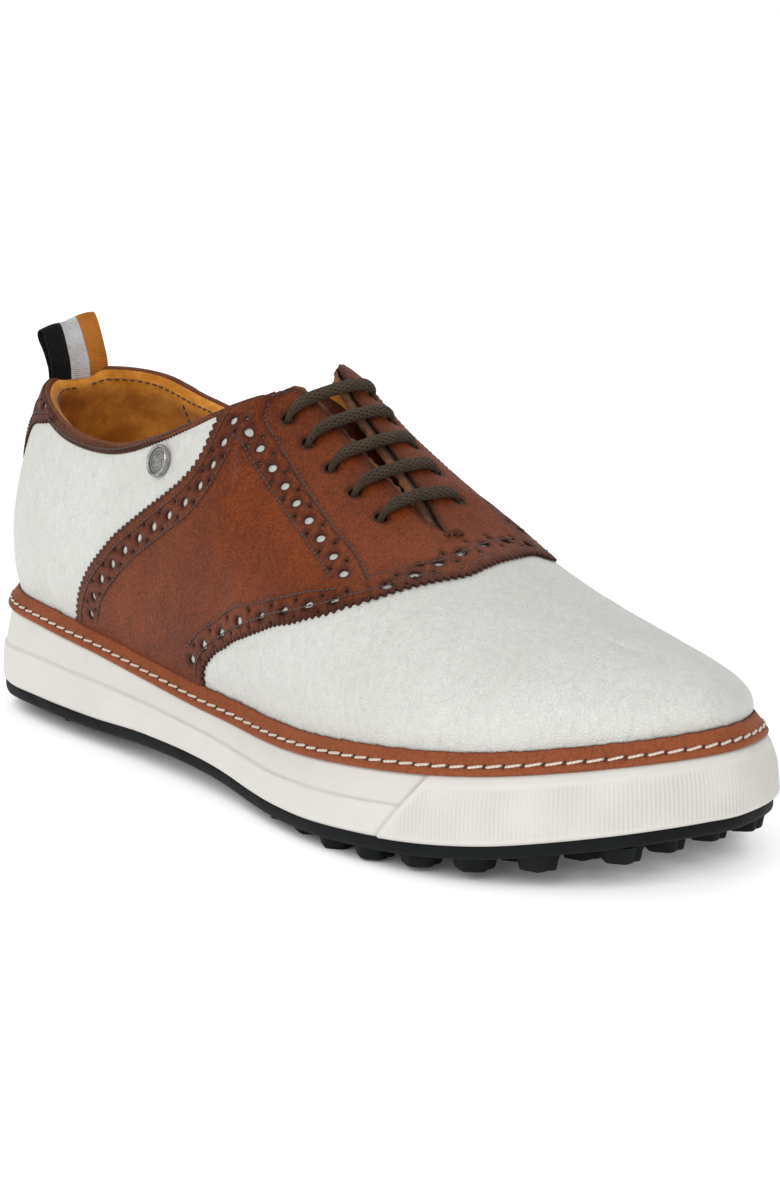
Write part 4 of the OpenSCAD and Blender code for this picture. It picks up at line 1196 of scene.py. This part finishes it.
def midsole():
    u, length, length_u = around(0.23, 0.8, [(12.0, 20.0)])
    # how far the wall is drawn in at each fraction of its height
    k_of = np.array([[0, 1.2], [.02, .75], [.05, .2], [.1, .02], [.14, 0], [.52, .55], [.96, 1.35],
                     [1, 1.9]])
    f = np.r_[0, .008, .02, .035, .055, .08, np.linspace(.11, .9, 38), .925, .945, .96, .975, .988, 1.0]
    U, Fr = np.meshgrid(u, f, indexing="ij")
    w = np.where(U > 16, RINGS - U, U)
    k = np.interp(Fr, k_of[:, 0], k_of[:, 1]) + 1.35 * ramp(Fr, .5, 1.0)
    # recessed upper band behind the bumper, its lower step sweeping down from the heel
    st = np.interp(w, [0, 1.5, 3, 5, 7, 9, 11, 12.8], [.44, .49, .56, .6, .585, .56, .535, .52])
    edge = BUMPER[0] + (BUMPER[1] - BUMPER[0]) * Fr ** 1.05
    rest = 1 - ramp(w, edge - .10, edge + .03)
    wide = .055 * ramp(w, 0, 12) + .02
    band = ramp(Fr, st - .012, st + .05 - wide * .4)
    below = ramp(Fr, st - .20, st - .02)
    k = k + rest * (BAND_DEEP * band * (1 - .15 * ramp(Fr, .86, .99)) + 0.18 * below)
    # one more soft crease where the waist sweeps up
    c2 = np.interp(w, [1.2, 3, 5, 8, 10], [.30, .44, .5, .42, .36])
    k = k + rest * 0.16 * np.exp(-((Fr - c2) / .03) ** 2) * ramp(w, 2, 4.5) * (1 - ramp(w, 8, 10.5))
    # proud toe bumper with its rounded shoulder and upright ribs
    up = ramp(w, edge - .035, edge + .035)
    k = k - BUMPER_PROUD * up * (1 - ramp(Fr, .86, 1.0) * .95)
    k = k - 0.12 * np.exp(-((w - edge - .02) / .03) ** 2) * (Fr < .93)
    rib = (0.5 + 0.5 * np.cos(np.interp(U, length_u, length) * math.tau / RIB_PITCH)) ** 1.6
    amp = ramp(w, edge + .05, edge + .16) * ramp(Fr, .05, .12) * (1 - ramp(Fr, .78, .86))
    amp = amp * (0.62 + 0.38 * soft(np.stack([U * 20, Fr * 20, 0 * U], -1), 41, 14).clip(-1, 1))
    k = k + RIB_DEEP * amp * (1 - rib)
    k = k + 0.05 * soft(at(U, 0 * U, 30 * Fr), 42, 30)
    W = at(U, k, zlow(U) * (1 - Fr) + ztop(U) * Fr)
    # over the top edge and down into the cup
    zt = ztop(u)
    inner = [at(u, 0 * u + a, zt + b) for a, b in ((5, .02), (9.5, 0), (10, -6.5))]
    G = np.stack([W[:, j] for j in range(len(f))] + inner, 1)
    # painted shade: 'cav' darkens the step under the recessed band, the bumper's rear edge and the rib
    # grooves
    cav = np.zeros(G.shape[:2])
    cav[:, :len(f)] = (0.5 * rest * np.exp(-((Fr - st - .01) / .012) ** 2)
                       + np.exp(-((w - edge + .04) / .035) ** 2) * .55 + amp * (1 - rib) * .5)
    V, F = plug(G, u)
    mesh("cup_sole", V, F, MID, ("midsole",), {"cav": cav}, sharp=48)


midsole()


# ---- outsole with its lugs
LUG_ROWS = [[128, [-13, 0, 14]], [114, [-18, -6, 8, 21]], [100, [-22, -11, 1, 13, 24]],
            [86, [-22, -8, 8, 23]], [72, [-21, -10, 2, 14, 25]], [-12, [-33, -17, 0, 17, 29]],
            [-28, [-38, -24, -9, 9, 24, 37]], [-43, [-41, -27, -13, 2, 17, 31, 43]],
            [-58, [-44, -30, -15, 0, 15, 30, 45]], [-73, [-44, -29, -14, 1, 17, 32, 47]],
            [-88, [-41, -27, -12, 3, 18, 33, 47]], [-103, [-36, -22, -8, 6, 20, 34, 46]],
            [-118, [-28, -13, 2, 17, 31, 42]], [-133, [-14, 1, 16, 29]]]
LUG_SIDES = 24


def plate():
    u = around(0.9)[0]
    w = 0.10 * soft(at(u, 0 * u, 0 * u), 51, 9)
    prof = [(9, -.8), (3.2, -.8), (1.7, -.75), (1.05, -.3), (.75, .6), (.72, 1.9), (.8, 2.6), (.95, 2.93),
            (1.5, 2.96), (6, 2.97)]
    zb = zlow(u) - EDGE
    V, F = plug(np.stack([at(u, k + (w if 0 < h < 2.9 else 0 * w), zb + h) for k, h in prof], 1), u)
    mesh("outsole_plate", V, F, SOLE, ("outsole",), {"cav": np.zeros(V[..., 0].size)},
         sharp=45)


def lugs():
    """blunt six-sided blocks with a dished foot and two notches, standing square to the ground"""
    Vs, Fs = [], []
    t = np.arange(LUG_SIDES) / LUG_SIDES * math.tau
    for row, xs in LUG_ROWS:
        z = float(level(WALL_LOW, row)) - EDGE
        b = 0.0 if row > 50 else max(0.0, z - LUG)
        prof = ((6.1, z + .1), (5.9, z - .8), (5.6, z - 1.3), (5.35, (z + b) / 2 - .3), (5.05, b + .5),
                (4.8, b + .14), (4.4, b), (2.9, b), (2.3, b + .1), (1.8, b + .55), (0.15, b + .7))
        for x in xs:
            turn = 0.5 + 0.35 * ((x * 7 + row * 3) % 5 - 2) * 0.3
            six = 1 / np.cos((t - turn + math.pi / 6) % (math.pi / 3) - math.pi / 6) * 0.93
            notch = 1 - 0.17 * np.exp(-(((t - turn) % math.pi - 1.2) / 0.16) ** 2)
            G = []
            for r, h in prof:
                R = r * (six * notch if r > 2.6 else 1.0 + 0 * t)
                G.append(np.stack([x + CX + R * np.cos(t), row + CY + R * np.sin(t), 0 * t + h], -1))
            n, m = LUG_SIDES, len(prof)
            a = len(Vs) * n * m
            Vs.append(np.stack(G, 1).reshape(-1, 3))
            Fs += [grid_faces(n, m, a, True), a + np.arange(n)[None] * m,
                   a + (np.arange(n) * m + m - 1)[None, ::-1]]
    V = np.concatenate(Vs)
    F = [np.concatenate([f for f in Fs if f.shape[1] == k]) for k in (4, LUG_SIDES)]
    mesh("outsole_lugs", V, F, SOLE, (), {"cav": np.zeros(len(V))}, sharp=38)


plate()
lugs()

# ---- welt and its stitching
WELT_PROFILE = [(6.9, 1.2), (6.2, .08), (4.2, .03), (2.85, .04), (2.42, .22), (2.34, .7), (2.45, 1.15),
                (2.78, 1.62), (3.15, 1.98), (3.36, 2.12), (3.55, 2.42), (3.66, 2.85), (3.92, 3.2),
                (4.35, 3.75), (4.85, 4.4), (5.3, 4.95), (5.62, 5.3), (5.85, 5.5), (6.15, 5.52),
                (6.5, 5.2), (6.75, 4.2)]        # mm inside the wall's outline, mm above the cup sole
WELT_STITCH, WELT_THREAD = 5.3, 0.36            # pitch and thread radius
GROOVE_IN, GROOVE_UP = 3.28, 2.42               # where on that profile the stitches lie


def welt():
    uw, L, q = around(0.55)
    zt = ztop(uw)
    P0 = at(uw, 0 * uw, zt)
    jag = soft(P0, 61, 9) * 0.5 + soft(P0, 62, 2.2) * 0.5
    slow = soft(P0, 63, 40)
    G, er = [], []
    for k, h in WELT_PROFILE:
        # the pinched upper edge is a little ragged
        top = math.exp(-((h - 5.4) / .5) ** 2) if k < 6.6 else 0
        kk = k + 0.05 * jag + 0.06 * slow - (0.10 * np.clip(jag, -1, 1) * top)
        G.append(at(uw, kk, zt + (h + 0.22 * jag * top)))
        er.append(0.2 + 7 * abs(h - 5.5) if h > 4.2 else
                  (2.5 + 0.4 * h if h > 2.6 else 1.3 + 1.6 * abs(h - 2.2)))
    G = np.stack(G, 1)
    n, m = G.shape[:2]
    i = np.arange(n) * m
    j = np.roll(i, -1)
    F = [grid_faces(n, m, wrap=True), np.stack([i + m - 1, j + m - 1, j, i], -1)]
    mesh("welt_strip", G, F, WELT, ("welt",),
         {"edge": np.tile(er, n), "seam": np.zeros(n * m)}, sharp=60)
    # saddle stitches lying in the groove, each a little slanted, ends going down into dark holes
    tot = L[-1]
    N = int(round(tot / WELT_STITCH))
    t = np.linspace(-1, 1, 11)

    def lying():
        for i in range(N):
            c = (i + .5) * tot / N
            j = rnd.uniform(-1, 1, 3)
            u = np.interp((c + t * (2.3 + 0.1 * j[0])) % tot, L, q)
            u = np.unwrap(u * math.tau / RINGS) * RINGS / math.tau
            down = np.clip(np.abs(t) * 4 - 3.0, 0, None) ** 1.3
            sl = t * (0.30 + 0.06 * j[1])
            P = at(u, 3.27 + .62 * (sl * .6) + .62 * down,
                   ztop(u) + GROOVE_UP + sl * .75 + 0.05 * j[2] - 0.1 * down)
            yield P, taper(t, WELT_THREAD, 1.05, 6), 8, c

    threads("welt_stitches", lying(), THREAD_W, ("welt_thread",))
    # the awl hole between two stitches: a dark disc that paints the shade inside the hole
    uh = np.interp((np.arange(N) + 1.0) * tot / N % tot, L, q)
    o = at(uh, 0 * uh + GROOVE_IN, ztop(uh) + GROOVE_UP)[:, None]
    x, y = out2(uh).T
    tx = np.stack([-y, x, 0 * x], -1)[:, None]
    tilt = np.stack([-x * .5, -y * .5, .86 + 0 * x], -1)[:, None] + 0.35 * tx
    nn = np.stack([x * .86, y * .86, .5 + 0 * x], -1)[:, None]
    a = circle(10)[:, None]
    rim = o + np.cos(a) * 0.33 * tx + np.sin(a) * 0.72 * tilt + 0.07 * nn
    V = np.concatenate([rim, rim - 0.5 * nn], 1)
    i = np.arange(10)
    k = (i + 1) % 10
    o = np.arange(N)[:, None] * 20
    F = [np.concatenate([o + i, o + 19 - i]),
         (o[:, None] + np.stack([i, k, k + 10, i + 10], -1)[:, ::-1]).reshape(-1, 4)]
    mesh("welt_awl_holes", V, F, plain_mat("awl_hole", (92, 54, 38), (66, 38, 28), 900, 0.9))


welt()


# ---- lace
def even(u, v, d):
    """point d mm outside the skin, without the leather's unevenness"""
    return off(np.asarray(u, float), np.asarray(v, float), d, False)


def spline(P, step):
    """smooth curve through points, evenly spaced"""
    P = np.asarray(P, float)
    Q = np.concatenate([[2 * P[0] - P[1]], P, [2 * P[-1] - P[-2]]])
    out = []
    for i in range(len(P) - 1):
        a, b, c, d = Q[i:i + 4]
        k = np.linalg.norm(c - b)
        f = np.linspace(0, 1, max(2, int(k / 0.15)), endpoint=False)[:, None]
        out.append(hermite(b, c, (c - a) / (np.linalg.norm(b - a) + k) * k,
                           (d - b) / (np.linalg.norm(d - c) + k) * k, f))
    R = np.concatenate(out + [P[-1:]])
    s = run(R)
    return along(np.linspace(0, s[-1], int(s[-1] / step) + 1), s, R)


LACE_R, LACE_SQUEEZE = 1.72, 0.82       # radius, and how much of it the punched holes take
BRAID, STRANDS, BRAID_RIB = 2.6, 9, 1.1
# each bar's points at its ends: pattern steps in y from the hole, height above the skin
BAR_START = ((-.004, -1.6), (.004, 0.9), (.021, 2.35), (.05, 3.05), (.09, 3.1))
BAR_END = ((.085, 3.0), (.045, 2.9), (.018, 2.15), (.003, 0.8), (-.004, -1.6))
BEHIND, STEP_BEHIND = -5.05, -6.35
ENDS_IN = ((8.6, .8, -6), (9.1, .7, -6.5), (9.8, .6, -7), (10.6, .52, -7.4), (11.5, .46, -7.8))
ENDS_OUT = ((10.9, .8, -6), (10.4, .7, -6.5), (9.7, .6, -7.2), (8.9, .52, -8), (8, .46, -9.2))


def lace():
    """433 mm along its way: five bars, the steps behind the facing and both ends inside the shoe"""
    def hole(i, s):
        return eye(i, 1) if s > 0 else (RINGS - EYES_IN[i][0], EYES_IN[i][1])

    def bar_way(i):
        (a, v), (b, w) = hole(i, 1), hole(i, -1)
        p, q = even(a, 1 - 1e-9, 3.0), even(b, 1 - 1e-9, 2.8)
        return [even(a, v, BEHIND)] + [even(a, v + k, d) for k, d in BAR_START] \
            + [p + (q - p) * .15, p + (q - p) * .5 + [0, -.1, .15], p + (q - p) * .85] \
            + [even(b, w + k, d) for k, d in BAR_END] + [even(b, w, BEHIND)]

    def turn(i, s):
        e, f = hole(i, s), hole(i + 1, s)
        return [even(e[0] + (f[0] - e[0]) * t, e[1] + (f[1] - e[1]) * t, STEP_BEHIND) for t in (.3, .7)]

    def tail(P):
        return P + [P[-1] + 21 * (P[-1] - P[-2]) / np.linalg.norm(P[-1] - P[-2])]

    way = tail([even(RINGS - a, b, c) for a, b, c in ENDS_IN])[::-1]
    for i in range(5):
        way += bar_way(i)[::-1 if i % 2 == 0 else 1]
        way += turn(i, -1 if i % 2 else 1) if i < 4 else []
    P = spline(way + tail([even(*p) for p in ENDS_OUT]), 0.3)
    # over the leather the lace is full; at the holes it is squeezed
    q = near(P, np.array([even(*hole(*e), 1.2) for e in EYES]))

    def weave(s, t):
        # braided strands, two families that cross, and a faint rib along the cord
        a = np.sin(STRANDS * t + s * math.tau / BRAID)
        b = np.sin(STRANDS * t - s * math.tau / BRAID)
        return 0.045 * np.maximum(a, b) + 0.03 * np.cos(s * math.tau / BRAID_RIB)

    cord("lace_cord", P, LACE_R - LACE_SQUEEZE * np.exp(-(q / 4.2) ** 2), 36, lace_mat(), "lace_cotton",
         ("lace",), weave)


def lace_mat():
    m = Mat("waxed_lace")
    t, s = m.attr("a"), m.attr("s")
    a, b = (m.math("SINE", m.add(m.mul(t, STRANDS * TURN), m.mul(s, k * TURN / BRAID))) for k in (1, -1))
    w = m.math("MAXIMUM", a, b)
    fib = m.noise(2600, 3, 0.6)
    tick = m.sine(s, 0.55)
    # painted shade: the braid's colour darkens between the strands, where the bump dips
    c = m.mix(m.span(w, -0.5, 0.95), srgb(36, 26, 18), srgb(76, 60, 44))
    # painted highlight: the raised fibres and ticks are lighter
    c = m.mix(m.span(m.add(fib, m.mul(tick, 0.12)), 0.5, 0.75, 0.0, 0.55), c, srgb(98, 82, 64))
    c = m.mix(m.span(m.noise(160, 3), 0.45, 0.75, 0.0, 0.4), c, srgb(44, 33, 25))
    h = m.add(m.add(w, m.mul(tick, 0.3)), m.mul(fib, 0.9))
    return m.end(c, 0.78, m.bump(h, 0.00012, 0.9), Sheen_Weight=0.06, Sheen_Roughness=0.5,
                 Specular_IOR_Level=0.2)


lace()

# ---- tongue
TONGUE_D = -8.15, -9.25, -10.15     # outer face, seam with the lining, inner face: mm from the skin
TONGUE_ROWS = [(8.7, 10.0), (8.7, 5.0)] + [(u, 0.0) for u in (8.7, 9.2, 9.7, 10.2, 10.7, 11.2, 11.7, 12.05)]


def tongue_grid(d):
    """smooth grid of the tongue at depth d: across the slit, and lifted at its free top"""
    G = []
    for u, lift in TONGUE_ROWS:
        a = [even(u, v, d) for v in (.78, .85, .92, .97)]
        p, q = even(u, 1.0, d), even(RINGS - u, 1.0, d)
        b = [even(RINGS - u, v * .98, d) for v in (.97, .92, .85, .78)]
        G.append(np.array(a + [(2 * p + q) / 3, (p + 2 * q) / 3] + b) + lift * np.array([0, .83, .56]))
    G = np.array(G)
    for ax, k in enumerate((90, 70)):
        G = np.moveaxis(G, ax, 0)
        n = len(G) - 1
        q = np.linspace(0, n, k)
        i = np.minimum(q.astype(int), n - 1)
        f = (q - i).reshape((-1,) + (1,) * (G.ndim - 1))
        G = np.moveaxis(cr(G[np.maximum(i - 1, 0)], G[i], G[i + 1], G[np.minimum(i + 2, n)], f), 0, ax)
    return G


def tongue():
    A, B, C = (tongue_grid(d) for d in TONGUE_D)
    n, m = A.shape[:2]
    # distance to the rim in mm, for the rounded edge and its stitch row
    s, w = run(A[:, m // 2]), run(A[5])
    e = np.minimum(s[:, None], np.minimum(w, w[-1] - w))
    T = unit(np.cross(np.gradient(A, axis=0), np.gradient(A, axis=1)))
    if ((A - B) * T).sum() < 0:
        T = -T

    def rounded(X, by, width):
        return X + T * (by * np.exp(-(e / width) ** 2))[..., None]

    g = np.exp(-((e - 2.4) / .45) ** 2) * (s[:, None] < 60)
    A = rounded(A, -0.4, .5) + T * (0.16 * soft(A, 71, 14) * ramp(e, 0, 3) - 0.22 * g)[..., None]
    B = rounded(B, 0.25, .5)
    V, F = shell(A, B)
    mesh("tongue_leather", V, F, TONGUE, ("tongue",),
         {"edge": [e, 0 * e + 5], "seam": [g, 0 * g]}, 55, "tongue")
    V, F = shell(rounded(B - T * 0.06, -0.2, .6), rounded(C, 0.3, .6))
    mesh("tongue_backing", V, F, SUEDE, ("tongue_lining",), {"edge": [e, e]}, 55, "tongue")
    # the row of stitches round the top of the tongue
    js = np.where((w > 2.4) & (w < w[-1] - 2.4))[0]
    k = int(np.searchsorted(s, 2.4))
    up = np.arange(n - 20, k, -1)
    r = np.r_[up, np.full(len(js), k), np.arange(k, n - 20)]
    c = np.r_[np.full(len(up), js[0]), js, np.full(n - 20 - k, js[-1])]
    total = run(A[r, c])[-1]
    count = int(total / 2.4)
    row = sewn(A[r, c], T[r, c], (np.arange(count) + .5) * total / count, 0.26, 0.1,
               lambda t: 0.26 * dip(t), 9, 7)
    threads("tongue_stitches", row, THREAD_D, body="tongue")


tongue()


# ---- keeper at the foot of the slit
KEEPER_HALF = 3.4


def keeper():
    """a short roll of leather laid across the slit, with a bar tack beside it"""
    c, N = even(12.12, 1.02, 1.35), skn(12.12, 1.02)
    a, b = across(N, sk(12.12, 1.055) - sk(12.12, 1.0))
    t = np.linspace(-1, 1, 41)
    P = c + a * (t * KEEPER_HALF)[:, None] + N * (0.55 - 0.9 * t ** 2)[:, None] + b * (0.5 * t ** 2)[:, None]
    r = 0.95 * np.sqrt(np.clip(1.02 - np.abs(t) ** 5, .05, 1)) * (1 + .10 * np.sin(t * 7))
    cord("slit_keeper", P, r, 22, KEEPER, "leather_brown", ("throat_tab",),
         lambda s, q: 0.10 * np.sin(q * 2 + s * 1.1) + 0.07 * np.sin(q * 3 + s * 2.3), edge=2.0, seam=0.0)
    t = np.linspace(-1, 1, 30)[:, None]
    cord("keeper_bar_tack", c + b * np.linspace(-1.6, 1.9, 30)[:, None] - a * 1.8 + N * (0.95 - t ** 2 * .9),
         0.3, 8, THREAD_D, "thread_white")


keeper()


# ---- ribbon pull
def ribbon_mat():
    """three woven stripes; 'x' runs across the ribbon in mm, 'y' along it"""
    m = Mat("striped_ribbon")
    x, y = m.attr("x"), m.attr("y")
    j = m.add(x, m.mul(m.sine(y, 0.9), 0.07))
    one, two = m.span(j, -3.6, -3.45), m.span(j, 3.35, 3.5)
    rib, warp, fib = m.sine(y, 0.62), m.sine(x, 0.42), m.noise(2400, 3, 0.6)
    c = m.mix(one, srgb(9, 10, 12), srgb(216, 216, 216))
    c = m.mix(two, c, srgb(198, 122, 44))
    # painted shade: the weave's hollows between ribs and warp are darkened
    c = m.mix(m.span(m.add(rib, m.mul(warp, 0.7)), 0.1, -1.5, 0.0, 0.32), c, srgb(30, 22, 16))
    c = m.mix(m.span(m.noise(120, 4, 0.65), 0.42, 0.75, 0.0, 0.6), c, srgb(170, 155, 135), "MULTIPLY")
    # painted highlight: near-white flecks on the raised fibres
    c = m.mix(m.span(fib, 0.55, 0.8, 0.0, 0.05), c, srgb(235, 232, 226))
    h = m.add(m.add(rib, m.mul(warp, 0.5)), m.mul(fib, 0.6))
    return m.end(c, 0.8, m.bump(h, 0.00008, 0.8), Sheen_Weight=0.05, Sheen_Roughness=0.5,
                 Specular_IOR_Level=0.12)


RIBBON_HALF = 10.4              # half its width
RIBBON_WAY = [[129.2, 101.2], [129.5, 104.6], [130.7, 107.8], [133.1, 113], [135.9, 117.6],
              [136.5, 120.4], [135.3, 121.6], [134.0, 120.8], [132.2, 117.6], [130.1, 112.8],
              [128.3, 107.8], [127.7, 104.6], [127.5, 101.0]]     # up the back, down the front: y, z


def ribbon():
    o = np.array(RIBBON_WAY)
    P = spline(np.c_[o[:, 0] * 0, o], 0.28)[:, 1:]
    T = unit(np.gradient(P, axis=0))
    N = np.stack([T[:, 1], -T[:, 0]], -1)
    if N[len(N) // 4, 0] < 0:
        N = -N
    X, Sg = np.meshgrid(np.linspace(-RIBBON_HALF, RIBBON_HALF, 75), run(P))
    h = np.clip(P[:, 1] - 104.2, 0, None)[:, None] / 17
    # soft sway: one edge stands further back than the other, with a ripple near the middle
    sway = h ** 1.2 * (0.9 * (X / RIBBON_HALF) + 0.5 * np.sin(X * 0.42 + 0.6))
    sway = sway + 0.18 * h * np.sin(X * 0.9 + Sg * 0.3)
    rise = h * (-3.2 + 1.9 * X / RIBBON_HALF - 0.25 * np.cos(X * .5))
    W = np.stack([X * (1 - .015 * h) + CX + 0.5 * h, P[:, :1] + CY + sway, P[:, 1:] + rise], -1)
    thick = 0.34 - 0.12 * np.exp(-((RIBBON_HALF - np.abs(X)) / .5) ** 2) \
        + 0.02 * np.cos(Sg * math.tau / .84)
    step = np.stack([0 * X, N[:, :1] + 0 * X, N[:, 1:] + 0 * X], -1) * thick[..., None]
    V, F = shell(W + step, W - step)
    ob = mesh("pull_ribbon", V, F, ribbon_mat(), ("pull_tab",), {"x": [X, X], "y": [Sg, Sg]},
              60, None)
    mid = run(W[:, 37])[-1]
    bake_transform(ob)


ribbon()


# ---- badge: a plain dimpled disc
def badge():
    c, N = even(5.06, .858, .45), skn(5.06, .858)
    a, b = across(N, sk(5.08, .858) - sk(5.04, .858))
    n, face = 96, 3.5
    r = np.r_[np.linspace(0.02, face, 46), 3.62, 3.7, 3.76, 3.84, 3.95, 4.1, 4.3, 4.5, 4.65, 4.73, 4.76,
              4.74, 4.6]
    z = np.interp(r, [0, face, 3.7, 3.84, 4.0, 4.3, 4.6, 4.76], [1.08, 1.0, 1.02, 1.3, 1.62, 1.75, 1.6, 1.1])
    z[-3:] = [1.0, .3, 0.0]
    R, A = np.meshgrid(r, circle(n))
    Z = np.broadcast_to(z, R.shape).copy()
    x, y = R * np.cos(A), R * np.sin(A)
    # dimples in rings
    for q, k in enumerate((1, 6, 12, 18)):
        for i in range(k):
            w = i / k * math.tau + q * .3
            d = np.hypot(x - q * .98 * math.cos(w), y - q * .98 * math.sin(w))
            Z -= np.where(R < face, 0.26 * np.clip(1 - (d / .43) ** 2, 0, 1) ** 1.1, 0)
    V = c + x[..., None] * a + y[..., None] * b + Z[..., None] * N
    m = len(r)
    i = np.arange(n)[None] * m
    dark = np.clip((1.04 - Z) * 3.5, 0, 1) * (R < face) + np.exp(-((R - 3.7) / .12) ** 2)
    mesh("round_badge", V, [grid_faces(n, m, wrap=True), i[:, ::-1], i + m - 1], pewter(),
         ("badge",), {"cav": dark}, sharp=50)


def pewter():
    m = Mat("aged_pewter")
    g = m.attr("cav")
    n = m.noise(700, 4, 0.6)
    c = m.mix(m.span(n, 0.35, 0.7), srgb(176, 174, 170), srgb(138, 136, 133))
    c = m.mix(m.mul(g, 0.85), c, srgb(48, 46, 44))
    r = m.add(0.30, m.add(m.mul(n, 0.16), m.mul(g, 0.25)))
    return m.end(c, r, m.bump(m.noise(1500, 3), 0.00006, 0.6), Metallic=0.92)


badge()

# ---- footbed
# mm inside the wall's outline, mm above the footbed's underside, mm to the nearest edge for the finish
FOOTBED = [(22, 0, 9), (13, 0, 9), (12.1, .05, 9), (11.7, .5, 5), (11.6, 2.4, 5), (11.62, 4.2, 5),
           (11.8, 4.8, 3), (12.2, 4.95, 1.5), (12.9, 4.75, 2.5), (14, 4.35, 4), (18, 4.0, 9), (26, 3.95, 9)]


def footbed():
    u = around(1.4)[0]
    z0 = ztop(u) + 4.5
    G = np.stack([at(u, k, z0 + h) for k, h, _ in FOOTBED], 1)
    G[:, -3:, 2] += 0.16 * soft(G[:, -3:], 81, 22)
    V, F = plug(G, u)
    ob = mesh("footbed_cover", V, F, BED, ("footbed",),
              {"edge": np.tile([e for _, _, e in FOOTBED], len(u))}, sharp=60)


footbed()


# ---- the parts inside keep their CAD shape
def cork():
    m = Mat("cork_filler")
    g, e = m.cells(380, "F1"), m.cells(380)
    c = m.mix(m.span(m.noise(300, 3), 0.35, 0.7), srgb(186, 140, 92), srgb(150, 104, 62))
    c = m.mix(m.span(e, 0.0, 0.12, 0.7, 0.0), c, srgb(84, 52, 30))
    return m.end(c, 0.9, m.bump(m.add(g, m.noise(900, 3)), 0.0002, 0.8))


def brass():
    m = Mat("antique_brass")
    n = m.noise(420, 4, 0.6)
    c = m.mix(m.span(n, 0.35, 0.7), srgb(120, 92, 52), srgb(70, 52, 32))
    return m.end(c, m.add(0.3, m.mul(n, 0.25)), m.bump(m.noise(1500, 3), 0.00005, 0.6), Metallic=0.9)


# CAD node: its material's name, light and dark tone, grain scale, roughness, bump depth, metal
INSIDE = {
    "heel_wedge": ("wedge_foam", (212, 208, 196), (186, 180, 166), 700, 0.8, 0.0002),
    "shank": ("spring_steel", (150, 152, 156), (104, 106, 110), 500, 0.3, 0.00004, 0.95),
    "insole_board": ("fibre_board", (190, 164, 122), (150, 122, 84), 420, 0.85, 0.00015),
    "toe_puff": ("stiffener_resin", (222, 214, 196), (190, 180, 158), 300, 0.6, 0.0001),
    "heel_counter": ("counter_board", (206, 194, 166), (170, 156, 126), 300, 0.7, 0.0001),
    "collar_foam": ("collar_foam", (226, 214, 178), (190, 176, 136), 1300, 0.95, 0.0003),
    "facing_stays": ("stay_tape", (216, 206, 184), (176, 164, 138), 900, 0.85, 0.00012),
    "aglets": ("aglet_film", (44, 34, 28), (26, 20, 16), 800, 0.35, 0.00003)}
dress = {"forefoot_filler": cork(), "eyelets": brass()}
dress.update((node, plain_mat(*row)) for node, row in INSIDE.items())
for node, mat in dress.items():
    slots = bpy.data.objects[node].data.materials
    slots.clear()
    slots.append(mat)

# ---- stage, light, camera
GREY, WHITE_LIGHT = (0.6, 0.6, 0.6, 1), (1, 1, 1, 1)
SHADE_REACH = 0.018             # metres round the shoe's feet where the floor's own glow fades
fl = bpy.data.meshes.new("floor")
fl.from_pydata([(-9, -9, 0), (9, -9, 0), (9, 9, 0), (-9, 9, 0)], [], [(0, 1, 2, 3)])
floor = place("floor", fl)
fmat = Mat("pale_floor")
# painted contact shadow: the floor's glow is painted light that keeps it white and lights the shoe from
# below, and ambient occlusion cuts that glow near the shoe
near_shoe = fmat.n("AmbientOcclusion", 1, Distance=SHADE_REACH)
glow = fmat.span(near_shoe, 0.0, 0.52, 0.04, 1.0)
fmat.put(fmat.b.inputs["Emission Color"], fmat.mix(glow, (0, 0, 0, 1), WHITE_LIGHT))
fl.materials.append(fmat.end(GREY, 0.6, Emission_Strength=0.6, Specular_IOR_Level=0.2))

# the world lights the shoe at 0.6 and shows white to the camera
world = bpy.data.worlds.new("studio")
bpy.context.scene.world = world
world.use_nodes = True
wt = world.node_tree
bg = wt.nodes["Background"]
bg.inputs[0].default_value = WHITE_LIGHT
ray = wt.nodes.new("ShaderNodeLightPath")
pick = wt.nodes.new("ShaderNodeMapRange")
wt.links.new(ray.outputs["Is Camera Ray"], pick.inputs[0])
pick.inputs[3].default_value, pick.inputs[4].default_value = 0.6, 1.02
wt.links.new(pick.outputs[0], bg.inputs[1])
bpy.context.scene.view_settings.view_transform = "Standard"


def light(name, kind, toward, power, at_=(0, 0, 0), **more):
    """a lamp at at_ whose light comes from the direction `toward`"""
    l = bpy.data.lights.new(name, kind)
    l.energy = power
    for k, v in more.items():
        setattr(l, k, v)
    o = place(name, l)
    o.location = at_
    o.rotation_euler = (-Vector(toward)).to_track_quat("-Z", "Y").to_euler()


light("key", "SUN", (-1.0, -0.35, 0.8), 0.95, angle=math.radians(35))
light("top", "SUN", (0.3, 0.25, 1.0), 0.45, angle=math.radians(60))
light("strip", "AREA", (-0.54, -0.72, 0.49), 1.0, (-0.55, -0.75, 0.55), shape="RECTANGLE", size=0.5,
      size_y=0.35)

# the photograph's view: azimuth, elevation, roll, and 0.8 m from the point looked at
a, e, roll = math.radians(-38.96), math.radians(12.04), math.radians(-0.62)
AIM, DISTANCE = Vector((-0.00116, -0.02473, 0.05482)), 0.8
back = Vector((math.sin(a) * math.cos(e), -math.cos(a) * math.cos(e), math.sin(e)))
r = Vector((0, 0, 1)).cross(back).normalized()
u = back.cross(r)
r, u = math.cos(roll) * r + math.sin(roll) * u, -math.sin(roll) * r + math.cos(roll) * u
cam = bpy.data.cameras.new("camera")
cam.sensor_width, cam.lens = 36.0, 87.07
cam.clip_start, cam.clip_end = 0.05, 50
co = place("camera", cam)
M = Matrix((r, u, back)).transposed().to_4x4()
M.translation = AIM + DISTANCE * back
co.matrix_world = M
bpy.context.scene.camera = co
